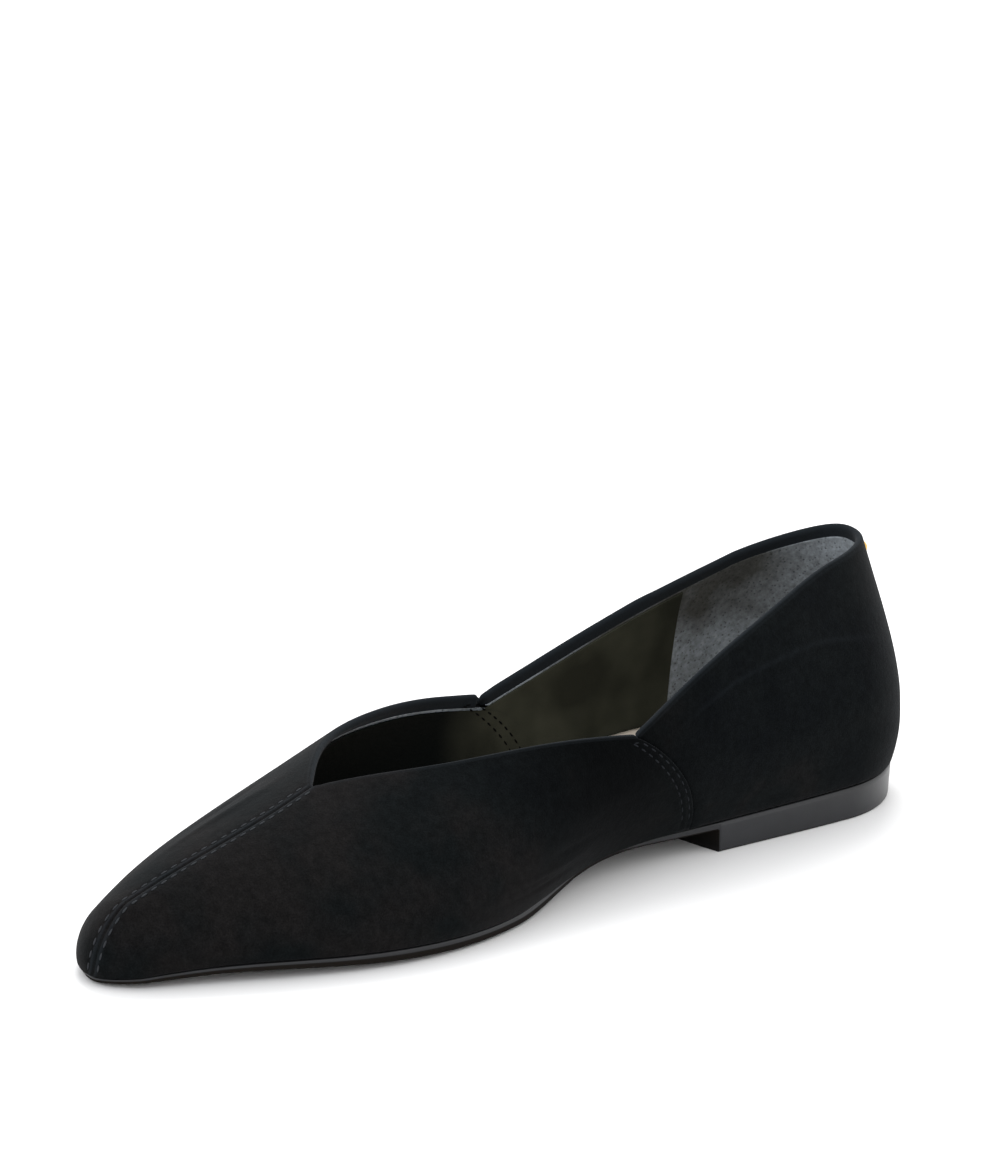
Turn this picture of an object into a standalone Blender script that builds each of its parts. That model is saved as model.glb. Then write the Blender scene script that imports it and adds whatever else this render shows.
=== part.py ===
"""Model a pointed toe flat shoe in black suede: right foot, empty, standing on its sole.

Run it with blender --background --python part.py, or from the text editor. The toe points to -Y, the heel
to +Y, +X is the inner side of the foot and +Z is up. The origin is on the floor, under the middle of the
shoe's box. Sizes are in millimetres, and MM turns them to metres.
"""

import math

import bmesh
import bpy
import numpy as np
from mathutils import Vector

MM = 0.001
IN, OUT = 1, -1
WELD = 0.005

# Main sizes. A station is the distance from the back of the heel, along the shoe.
LENGTH = 263.0
WALL = 2.0
GAP = 0.3
HEEL_TURN = 32.0
TOE_TURN = 10.0

# Cuts and seams of the upper. The notch is where vamp and quarter meet at the topline, and the side seam
# sweeps back from it towards the sole.
NOTCH = {IN: 110.0, OUT: 106.0}
THROAT = 193.5
SEAM_SWEEP = {IN: 23.0, OUT: 18.0}
SEAM_CURVE = 1.8
SEAM_HALF_WIDTH = 1.0
SEAM_DEPTH = 0.4
LASTING_MARGIN = 6.0

# Outsole: a moulded unit whose heel block ends at the breast, which bows towards the toe. edge_inset is how
# far the sole's side lies inside the feather line, and its under edge is lifted and rounded over to the
# tread, tread_inset inside the feather line.
BREAST = 76.0
BREAST_RUN = 0.8
BREAST_BOW = 2.0
WAIST_RISE = 5.4
WAIST_FROM = 104.0
WAIST_COLUMNS_FROM = 90.0
TREAD_FROM = 152.0
TREAD_TO = 236.0
TOE_SPRING = 0.4
SIDE_SLOPE = 0.3
SOLE_COLUMNS = ("station", "edge_inset", "edge_lift", "tread_inset")
SOLE_EDGE = (
    (0.0, 0.3, 0.6, 1.4),
    (BREAST, 0.3, 0.6, 1.4),
    (BREAST + BREAST_RUN, 0.3, 1.2, 4.0),
    (100.0, 1.5, 1.3, 5.0),
    (125.0, 1.5, 1.3, 5.0),
    (TREAD_FROM, 0.5, 1.2, 5.0),
    (TREAD_TO, 0.5, 1.2, 5.0),
    (LENGTH, 0.9, 0.7, 4.5),
)

INSOLE_THICKNESS = 1.5
INSOLE_CLEARANCE = 1.0

STUD_RADIUS = 1.6
STUD_TOP_SHARE = 0.7
STUD_SEGMENTS = 20
STUD_HEIGHT = 1.1
STUD_BELOW_TOPLINE = 6.0

# Four rails run the length of the last and shape each section as a curve from the feather line at the sole
# to the top of the foot. back and tip say where each rail turns round the heel and the toe, and top_shift
# how far the top swings towards the inner side, which the middle seam follows.
RAILS = ("feather", "wide", "crown", "top")
RAIL_BACK = {"feather": 1.0, "wide": -3.0, "crown": 5.0, "top": 11.5}
RAIL_TIP = {"feather": 1.5, "wide": -0.5, "crown": 2.0, "top": 9.5}
SECTION_COLUMNS = (
    "station", "feather_z", "feather_in", "feather_out", "wide_in", "wide_out", "wide_z",
    "crown_in", "crown_out", "crown_z", "top_half", "top_z", "top_shift",
)
SECTIONS = (
    (0, 10.0, 27.0, 27.5, 34.0, 31.0, 28.5, 21.0, 24.0, 47.0, 15.0, 72.0, 0.0),
    (30, 9.5, 28.0, 30.5, 35.0, 34.0, 31.0, 25.5, 27.5, 50.5, 12.0, 73.0, 0.0),
    (60, 9.0, 26.5, 32.0, 34.5, 35.5, 31.0, 29.5, 30.0, 51.0, 15.5, 72.5, 0.0),
    (90, 8.5, 24.5, 33.0, 34.0, 37.5, 28.5, 31.5, 33.0, 50.0, 10.5, 69.0, 0.0),
    (120, 7.0, 25.0, 35.0, 36.5, 41.0, 25.0, 33.0, 35.0, 48.5, 5.0, 62.0, 0.0),
    (150, 4.5, 34.0, 38.0, 41.5, 45.0, 19.5, 31.5, 33.5, 45.5, 1.5, 51.0, 0.0),
    (180, 4.3, 38.0, 39.0, 43.5, 44.0, 16.0, 27.0, 28.5, 37.5, 0.0, 40.5, 0.0),
    (210, 4.2, 32.0, 32.0, 36.0, 35.0, 14.0, 20.5, 22.5, 31.0, 0.0, 32.5, 2.6),
    (240, 4.3, 18.5, 20.0, 22.0, 21.0, 11.5, 13.0, 14.5, 24.0, 0.0, 24.5, 2.6),
    (262, 4.5, 7.5, 10.0, 10.5, 11.0, 7.5, 6.0, 6.0, 15.0, 0.0, 17.5, 2.6),
)

# The topline, as the share of each section's curve that the upper covers. way runs from the back seam to
# the notch, and then from the notch to the throat.
TOPLINE_COLUMNS = ("way", "share_in", "share_out")
QUARTER_TOPLINE = (
    (0.0, 0.935, 0.935),
    (0.333, 0.89, 0.765),
    (0.667, 0.745, 0.575),
    (1.0, 0.532, 0.402),
)
VAMP_TOPLINE = (
    (0.0, 0.532, 0.402),
    (0.333, 0.655, 0.54),
    (0.667, 0.79, 0.695),
    (1.0, 1.0, 1.0),
)

# Steps of the meshes, from one named line to the next, the places of the points across a slab, and the
# upper's rows from feather line to topline.
STEPS = {
    "heel turn": 8, "quarter": 9, "vamp": 12, "toe box": 9, "toe turn": 5,
    "heel block": 4, "waist": 8, "tread": 8, "tread to toe": 2, "insole": 20,
}
RUNG_SHARES = (0.25, 0.5, 0.75)
ROWS = (0.0, 0.05, 0.12, 0.2, 0.3, 0.4, 0.5, 0.6, 0.7, 0.8, 0.9, 0.965, 1.0)

# The normal is read from points this far to either side, along the shoe in millimetres and up the section
# as a share, and in a seam no nearer the top of the section than the last share.
NORMAL_REACH = 0.5
NORMAL_SHARE = 0.01
NORMAL_HIGHEST_SHARE = 0.98

# The search for the wall's inside halves a span of shares of the section, and the search for the stud's
# seat walks down the back seam by one share at a time.
WALL_SHARES = (0.01, 0.6)
WALL_HALVINGS = 30
STUD_SEARCH_SHARE = 0.002

SUEDE_BLACK = (0.009, 0.010, 0.012, 1.0)
SOLE_GREY = (0.040, 0.043, 0.047, 1.0)
INSOLE_CREAM = (0.80, 0.73, 0.64, 1.0)
STUD_GOLD = (0.72, 0.46, 0.18, 1.0)


def spline(stations, values):
    """Return the natural cubic curve through one column of a table."""
    x = np.array(stations, float)
    y = np.array(values, float)
    count = len(x)
    step = np.diff(x)
    matrix = np.eye(count)
    bend = np.zeros(count)
    for i in range(1, count - 1):
        matrix[i, i - 1:i + 2] = step[i - 1], 2.0 * (step[i - 1] + step[i]), step[i]
        bend[i] = 6.0 * ((y[i + 1] - y[i]) / step[i] - (y[i] - y[i - 1]) / step[i - 1])
    bend = np.linalg.solve(matrix, bend)

    def at(place):
        i = int(np.clip(np.searchsorted(x, place) - 1, 0, count - 2))
        h = step[i]
        left = (x[i + 1] - place) / h
        right = (place - x[i]) / h
        cubic = (left ** 3 - left) * bend[i] + (right ** 3 - right) * bend[i + 1]
        return float(left * y[i] + right * y[i + 1] + cubic * h * h / 6.0)

    return at


def smooth(share):
    """Ease from 0 to 1."""
    share = min(max(share, 0.0), 1.0)
    return share * share * (3.0 - 2.0 * share)


def read_sections():
    """Return a curve along the shoe for each column of the section table."""
    stations = [row[0] for row in SECTIONS]
    return {
        name: spline(stations, [row[column] for row in SECTIONS])
        for column, name in enumerate(SECTION_COLUMNS)
    }


def read_topline(side):
    """Return the share of the section that the upper covers, as two curves, for one side of the shoe."""
    column = TOPLINE_COLUMNS.index("share_in" if side == IN else "share_out")
    notch = NOTCH[side]
    ways = [row[0] * notch for row in QUARTER_TOPLINE]
    shares = [row[column] for row in QUARTER_TOPLINE]
    mirrored = [-way for way in reversed(ways[1:])]
    quarter = spline(mirrored + ways, shares[:0:-1] + shares)
    vamp = spline(
        [notch + row[0] * (THROAT - notch) for row in VAMP_TOPLINE],
        [row[column] for row in VAMP_TOPLINE],
    )
    return quarter, vamp


SECTION = read_sections()
TOPLINE = {side: read_topline(side) for side in (IN, OUT)}


def covered(side, along):
    """Return the share of the section's curve that the upper covers at this place."""
    quarter, vamp = TOPLINE[side]
    if along < NOTCH[side]:
        return quarter(along)
    return vamp(along) if along < THROAT else 1.0


def turned(along, back, tip):
    """Return the station and the width factor of a rail that turns round the heel and the toe."""
    if along < HEEL_TURN:
        turn = along / HEEL_TURN * math.pi / 2
        return HEEL_TURN - (HEEL_TURN - back) * math.cos(turn), math.sin(turn)
    if along > LENGTH - TOE_TURN:
        turn = (LENGTH - along) / TOE_TURN * math.pi / 2
        return LENGTH - TOE_TURN + (TOE_TURN - tip) * math.cos(turn), math.sin(turn)
    return along, 1.0


def rail_point(side, along, rail):
    """Return a rail's point, as a numpy array of (station, across, up)."""
    station, factor = turned(along, RAIL_BACK[rail], RAIL_TIP[rail])
    up = SECTION[rail + "_z"](station)
    if rail == "top":
        half = max(SECTION["top_half"](station), 0.0) if along < THROAT else 0.0
        return np.array((station, side * half * factor + SECTION["top_shift"](station), up))
    half = SECTION[rail + ("_in" if side == IN else "_out")](station)
    return np.array((station, side * half * factor, up))


def outer_point(side, along, share):
    """Return a point of the last's surface, at a share of the way up its section."""
    feather, wide, crown, top = (rail_point(side, along, rail) for rail in RAILS)
    rest = 1.0 - share
    return (
        rest ** 3 * feather + 3.0 * share * rest ** 2 * wide
        + 3.0 * share ** 2 * rest * crown + share ** 3 * top
    )


def outward(side, along, share):
    """Return the surface's unit normal."""
    low, high = max(along - NORMAL_REACH, 0.0), min(along + NORMAL_REACH, LENGTH)
    lengthwise = outer_point(side, high, share) - outer_point(side, low, share)
    above = outer_point(side, along, share + NORMAL_SHARE)
    upwards = above - outer_point(side, along, share - NORMAL_SHARE)
    if low == 0.0 or high == LENGTH:
        lengthwise[0] = lengthwise[2] = 0.0
    normal = np.cross(upwards, lengthwise) * side
    return normal / np.linalg.norm(normal)


def inset_point(side, along, inset):
    """Return a point on the feather line, moved in towards the middle of the foot."""
    station, factor = turned(along, RAIL_BACK["feather"] + inset, RAIL_TIP["feather"] + inset)
    half = SECTION["feather_in" if side == IN else "feather_out"](station) - inset
    return np.array((station, side * half * factor, SECTION["feather_z"](station)))


def seam_shift(side, along, share):
    """Return how far a column of the upper leans back, so that it runs along the side seam."""
    notch = NOTCH[side]
    if along < notch:
        near = smooth((along - HEEL_TURN) / (notch - HEEL_TURN))
    else:
        near = smooth((THROAT - along) / (THROAT - notch))
    return -SEAM_SWEEP[side] * near * (1.0 - share ** SEAM_CURVE)


def steps_between(start, end, count):
    """Return the start of each of a number of equal steps."""
    return [start + (end - start) * i / count for i in range(count)]


def upper_columns(side):
    """Return where the upper's columns stand, with three close together at the side seam."""
    notch = NOTCH[side]
    before, after = notch - SEAM_HALF_WIDTH, notch + SEAM_HALF_WIDTH
    toe = LENGTH - TOE_TURN
    return (
        steps_between(0.0, HEEL_TURN, STEPS["heel turn"])
        + steps_between(HEEL_TURN, before, STEPS["quarter"])
        + [before, notch]
        + steps_between(after, THROAT, STEPS["vamp"])
        + steps_between(THROAT, toe, STEPS["toe box"])
        + steps_between(toe, LENGTH, STEPS["toe turn"])
        + [LENGTH - SEAM_HALF_WIDTH, LENGTH]
    )


def groove(side, along, row):
    """Return how deep the upper lies in a seam here."""
    on_side_seam = along == NOTCH[side] and 0 < row
    on_middle_seam = along == LENGTH or (along >= THROAT and row == len(ROWS) - 1)
    return SEAM_DEPTH if on_side_seam or on_middle_seam else 0.0


def upper_point(side, along, row):
    """Return a point of the upper's outside, from its side of the shoe, column and row."""
    share = ROWS[row]
    height = share * covered(side, along)
    station = along + seam_shift(side, along, share)
    point = outer_point(side, station, height)
    depth = groove(side, along, row)
    if depth:
        across = point[1]
        point = point - depth * outward(side, station, min(height, NORMAL_HIGHEST_SHARE))
        if along != NOTCH[side]:
            point[1] = across
    return point


def shoe_middle():
    """Return the station and the distance across of the middle of the shoe's box."""
    points = np.array([
        upper_point(side, along, row)
        for side in (IN, OUT) for along in upper_columns(side) for row in range(len(ROWS))
    ])
    return (points.min(axis=0) + points.max(axis=0)) / 2.0


MIDDLE = shoe_middle()


def placed(point):
    """Turn a point of the last, in millimetres, to the shoe's own frame in metres."""
    station, across, up = point
    return Vector((across - MIDDLE[1], MIDDLE[0] - station, up)) * MM


def material(name, colour, roughness, metallic=0.0):
    """Make a material from its colour, roughness and metallic value."""
    made = bpy.data.materials.new(name)
    made.use_nodes = True
    shader = made.node_tree.nodes["Principled BSDF"]
    shader.inputs["Base Color"].default_value = colour
    shader.inputs["Roughness"].default_value = roughness
    shader.inputs["Metallic"].default_value = metallic
    made.diffuse_color = colour
    return made


def finish_object(name, bm, surface, collection):
    """Weld a bmesh, make it an object with its material and put it in the shoe's collection."""
    bmesh.ops.remove_doubles(bm, verts=bm.verts, dist=WELD * MM)
    mesh = bpy.data.meshes.new(name)
    bm.to_mesh(mesh)
    bm.free()
    mesh.materials.append(surface)
    mesh.shade_smooth()
    made = bpy.data.objects.new(name, mesh)
    collection.objects.link(made)
    return made


def add_strip(bm, first, second, flip):
    """Bridge two rows of vertices with quads."""
    for i in range(len(first) - 1):
        corners = [first[i], second[i], second[i + 1], first[i + 1]]
        bm.faces.new(reversed(corners) if flip else corners)


def build_upper(collection):
    """Build the upper: an open surface over the last, with a margin turned in underneath, made a wall."""
    bm = bmesh.new()
    for side in (IN, OUT):
        columns = upper_columns(side)
        lines = [[
            bm.verts.new(placed(inset_point(side, along + seam_shift(side, along, 0.0), LASTING_MARGIN)))
            for along in columns
        ]]
        for row in range(len(ROWS)):
            lines.append([bm.verts.new(placed(upper_point(side, along, row))) for along in columns])
        for lower, higher in zip(lines, lines[1:]):
            add_strip(bm, lower, higher, flip=side == OUT)
    upper = finish_object("upper", bm, material("suede", SUEDE_BLACK, 0.95), collection)
    wall = upper.modifiers.new("wall", "SOLIDIFY")
    wall.thickness = WALL * MM
    wall.offset = -1.0
    wall.use_even_offset = True
    return upper


def level(column):
    """Return the bow of a slab whose rungs are all straight."""
    return 0.0


def slab_across(bm, inner, outer, flip, bow):
    """Close a slab between its two sides with a ladder of faces, each rung bowed towards the toe by bow."""
    rungs = [[inner[0]] * (len(RUNG_SHARES) + 2)]
    for i in range(1, len(inner) - 1):
        between = []
        for share in RUNG_SHARES:
            place = inner[i].co.lerp(outer[i].co, share)
            place.y -= bow(i) * 4.0 * share * (1.0 - share) * MM
            between.append(bm.verts.new(place))
        rungs.append([inner[i]] + between + [outer[i]])
    rungs.append([inner[-1]] * (len(RUNG_SHARES) + 2))
    for here, there in zip(rungs, rungs[1:]):
        for k in range(len(here) - 1):
            corners = list(dict.fromkeys((here[k], here[k + 1], there[k + 1], there[k])))
            bm.faces.new(reversed(corners) if flip else corners)


def build_slab(name, columns, rings, surface, collection, bow=level):
    """Build a closed slab from rings of points, listed from its upper face to its under face."""
    bm = bmesh.new()
    lines = {IN: [], OUT: []}
    for ring in rings:
        inner = [bm.verts.new(placed(ring(IN, along))) for along in columns]
        outer = [bm.verts.new(placed(ring(OUT, along))) for along in columns[1:-1]]
        lines[IN].append(inner)
        lines[OUT].append([inner[0]] + outer + [inner[-1]])
    for side in (IN, OUT):
        for higher, lower in zip(lines[side], lines[side][1:]):
            add_strip(bm, higher, lower, flip=side == IN)
    slab_across(bm, lines[IN][0], lines[OUT][0], False, level)
    slab_across(bm, lines[IN][-1], lines[OUT][-1], True, bow)
    bmesh.ops.recalc_face_normals(bm, faces=bm.faces)
    return finish_object(name, bm, surface, collection)


def read_sole(name, along):
    """Return a size of the sole's edge at this place, straight between the table's rows."""
    column = SOLE_COLUMNS.index(name)
    return float(np.interp(along, [row[0] for row in SOLE_EDGE], [row[column] for row in SOLE_EDGE]))


def underside(along):
    """Return the height of the outsole's under face above the floor."""
    if along <= BREAST:
        return 0.0
    waist = WAIST_RISE * (1.0 - smooth((along - WAIST_FROM) / (TREAD_FROM - WAIST_FROM)))
    toe = max(along - TREAD_TO, 0.0) / (LENGTH - TREAD_TO)
    return waist + TOE_SPRING * toe ** 2


def build_outsole(collection):
    """Build the outsole and its heel block as one moulded unit, flat under the heel and the forepart."""

    def top(side, along):
        return inset_point(side, along, read_sole("edge_inset", along)) - (0.0, 0.0, GAP)

    def under_edge(side, along):
        point = inset_point(side, along, read_sole("edge_inset", along) + SIDE_SLOPE)
        point[2] = underside(along) + read_sole("edge_lift", along)
        return point

    def tread(side, along):
        point = inset_point(side, along, read_sole("tread_inset", along))
        point[2] = underside(along)
        return point

    toe = LENGTH - TOE_TURN
    columns = steps_between(0.0, HEEL_TURN, STEPS["heel turn"])
    columns += steps_between(HEEL_TURN, BREAST, STEPS["heel block"])
    breast_columns = (len(columns), len(columns) + 1)
    columns += [BREAST, BREAST + BREAST_RUN]
    columns += steps_between(WAIST_COLUMNS_FROM, TREAD_FROM, STEPS["waist"])
    columns += steps_between(TREAD_FROM, TREAD_TO, STEPS["tread"])
    columns += steps_between(TREAD_TO, toe, STEPS["tread to toe"])
    columns += steps_between(toe, LENGTH, STEPS["toe turn"]) + [LENGTH]

    def bow(column):
        return BREAST_BOW if column in breast_columns else 0.0

    surface = material("moulded_sole", SOLE_GREY, 0.45)
    return build_slab("outsole", columns, (top, under_edge, tread), surface, collection, bow)


def wall_inside(side, along, height):
    """Return the point inside the wall, clear of it, at a height above the feather line."""
    low, high = WALL_SHARES
    for _ in range(WALL_HALVINGS):
        share = (low + high) / 2.0
        point = outer_point(side, along, share) - (WALL + INSOLE_CLEARANCE) * outward(side, along, share)
        if point[2] - SECTION["feather_z"](point[0]) < height:
            low = share
        else:
            high = share
    return point


def build_insole(collection):
    """Build the insole, which lies on the lasting margin and follows the inside of the wall."""
    under = WALL + GAP

    def top(side, along):
        return wall_inside(side, along, under + INSOLE_THICKNESS)

    def bottom(side, along):
        return wall_inside(side, along, under)

    toe = LENGTH - TOE_TURN
    columns = steps_between(0.0, HEEL_TURN, STEPS["heel turn"])
    columns += steps_between(HEEL_TURN, toe, STEPS["insole"])
    columns += steps_between(toe, LENGTH, STEPS["toe turn"]) + [LENGTH]
    return build_slab("insole", columns, (top, bottom), material("sock", INSOLE_CREAM, 0.6), collection)


def build_back_stud(collection):
    """Build the low round stud on the back seam, a gap off the suede."""
    share = covered(IN, 0.0)
    rim = outer_point(IN, 0.0, share)
    while np.linalg.norm(outer_point(IN, 0.0, share) - rim) < STUD_BELOW_TOPLINE:
        share -= STUD_SEARCH_SHARE
    normal = outward(IN, 0.0, share)
    seat = outer_point(IN, 0.0, share) + GAP * normal
    axis = (placed(seat + normal) - placed(seat)).normalized()
    bm = bmesh.new()
    bmesh.ops.create_cone(
        bm, cap_ends=True, segments=STUD_SEGMENTS, radius1=STUD_RADIUS * MM,
        radius2=STUD_RADIUS * STUD_TOP_SHARE * MM, depth=STUD_HEIGHT * MM,
    )
    bmesh.ops.translate(bm, verts=bm.verts, vec=(0.0, 0.0, STUD_HEIGHT * MM / 2.0))
    stud = finish_object("back_stud", bm, material("gold_tone_metal", STUD_GOLD, 0.3, 1.0), collection)
    stud.rotation_mode = "QUATERNION"
    stud.rotation_quaternion = Vector((0.0, 0.0, 1.0)).rotation_difference(axis)
    stud.location = placed(seat)
    return stud


def main():
    """Clear the scene and build the shoe."""
    for old in list(bpy.data.objects):
        bpy.data.objects.remove(old, do_unlink=True)
    collection = bpy.data.collections.new("pointed_toe_flat")
    bpy.context.scene.collection.children.link(collection)
    build_outsole(collection)
    build_insole(collection)
    build_upper(collection)
    build_back_stud(collection)


main()
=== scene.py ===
"""Dress the pointed toe flat shoe: suede panels, linings, thread, moulded sole and metal stud.

The shoe's shape comes from the same last as its CAD source, with sizes in millimetres. A station is the
distance from the back of the heel, along the shoe. The toe points to -Y and +X is the inner side.
"""

import logging
import math
from dataclasses import dataclass
from enum import Enum
from typing import Any, Callable, Iterable

import bmesh
import bpy
import numpy as np
from mathutils import Matrix, Vector

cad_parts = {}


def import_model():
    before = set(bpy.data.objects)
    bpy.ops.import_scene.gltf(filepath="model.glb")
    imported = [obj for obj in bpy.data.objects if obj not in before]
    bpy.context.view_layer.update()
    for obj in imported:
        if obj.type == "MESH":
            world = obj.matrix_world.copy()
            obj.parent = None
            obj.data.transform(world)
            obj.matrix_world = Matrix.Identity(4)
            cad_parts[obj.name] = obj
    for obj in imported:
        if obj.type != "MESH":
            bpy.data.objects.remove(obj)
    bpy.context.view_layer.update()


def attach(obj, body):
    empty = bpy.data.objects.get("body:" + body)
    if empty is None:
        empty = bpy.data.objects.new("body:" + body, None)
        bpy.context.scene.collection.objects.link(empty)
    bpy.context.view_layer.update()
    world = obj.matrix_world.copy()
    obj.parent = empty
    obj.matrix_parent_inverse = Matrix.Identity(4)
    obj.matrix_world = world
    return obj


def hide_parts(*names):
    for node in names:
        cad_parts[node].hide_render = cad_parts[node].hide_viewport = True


LOG = logging.getLogger("pointed_toe_flat")
MM = 0.001
WELD = 0.004
X, Y = 0, 1

# A point on the last is its station, its place across the shoe and its height.
ALONG, ACROSS, UP = 0, 1, 2

# Attributes of a piece's points: how far the suede takes a painted highlight, and how far the rubber takes
# the tread colour, which is partly painted shade.
HIGHLIGHT = "painted_highlight"
TREAD_AND_SHADE = "tread"

# A noise keeps mostly to this middle of its range, which a finish spreads between two values of its own.
MIDDLE = {"in:From Min": 0.3, "in:From Max": 0.7}


class Side(Enum):
    """The side of the foot, with the sign of its X."""

    IN = 1
    OUT = -1


class Part(Enum):
    """The parts of the upper, from under the foot over the topline to the inside."""

    MARGIN = "margin"
    OUTSIDE = "outside"
    RIM = "rim"
    FOLD = "fold"


class Face(Enum):
    """The parts of the sole, from its top round its edge to its middle below."""

    TOP = "top"
    WALL = "wall"
    ROUND = "round"
    UNDER = "under"


def linear(colour: str) -> tuple[float, float, float, float]:
    """Turn an sRGB hex colour to linear RGBA.

    Args:
        colour: The colour, such as "#1a2b3c".

    Returns:
        The four linear values.
    """
    shares = [int(colour[i:i + 2], 16) / 255.0 for i in (1, 3, 5)]
    return tuple(s / 12.92 if s <= 0.04045 else ((s + 0.055) / 1.055) ** 2.4 for s in shares) + (1.0,)


def smooth(share: np.ndarray) -> np.ndarray:
    """Ease each value from 0 to 1."""
    share = np.clip(share, 0.0, 1.0)
    return share * share * (3.0 - 2.0 * share)


def bell(distance: np.ndarray, width: float) -> np.ndarray:
    """Return a bell curve of 1 at no distance, which has mostly gone at twice the width."""
    return np.exp(-(distance / width) ** 2)


class NaturalCurve:
    """A natural cubic curve through one column of a table."""

    def __init__(self, stations: Iterable[float], values: Iterable[float]) -> None:
        """Solve the curve's bends.

        Args:
            stations: Where the values stand, rising.
            values: The values.
        """
        self.x = np.array(list(stations), float)
        self.y = np.array(list(values), float)
        count = len(self.x)
        self.step = np.diff(self.x)
        slope = np.diff(self.y) / self.step
        matrix = np.eye(count)
        bend = np.zeros(count)
        for i in range(1, count - 1):
            matrix[i, i - 1:i + 2] = self.step[i - 1], 2.0 * (self.step[i - 1] + self.step[i]), self.step[i]
            bend[i] = 6.0 * (slope[i] - slope[i - 1])
        self.bend = np.linalg.solve(matrix, bend)

    def __call__(self, places: np.ndarray) -> np.ndarray:
        """Read the curve.

        Args:
            places: Where to read it.

        Returns:
            The value at each place.
        """
        i = np.clip(np.searchsorted(self.x, places) - 1, 0, len(self.x) - 2)
        h = self.step[i]
        left = (self.x[i + 1] - places) / h
        right = (places - self.x[i]) / h
        cubic = (left ** 3 - left) * self.bend[i] + (right ** 3 - right) * self.bend[i + 1]
        return left * self.y[i] + right * self.y[i + 1] + cubic * h * h / 6.0


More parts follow.
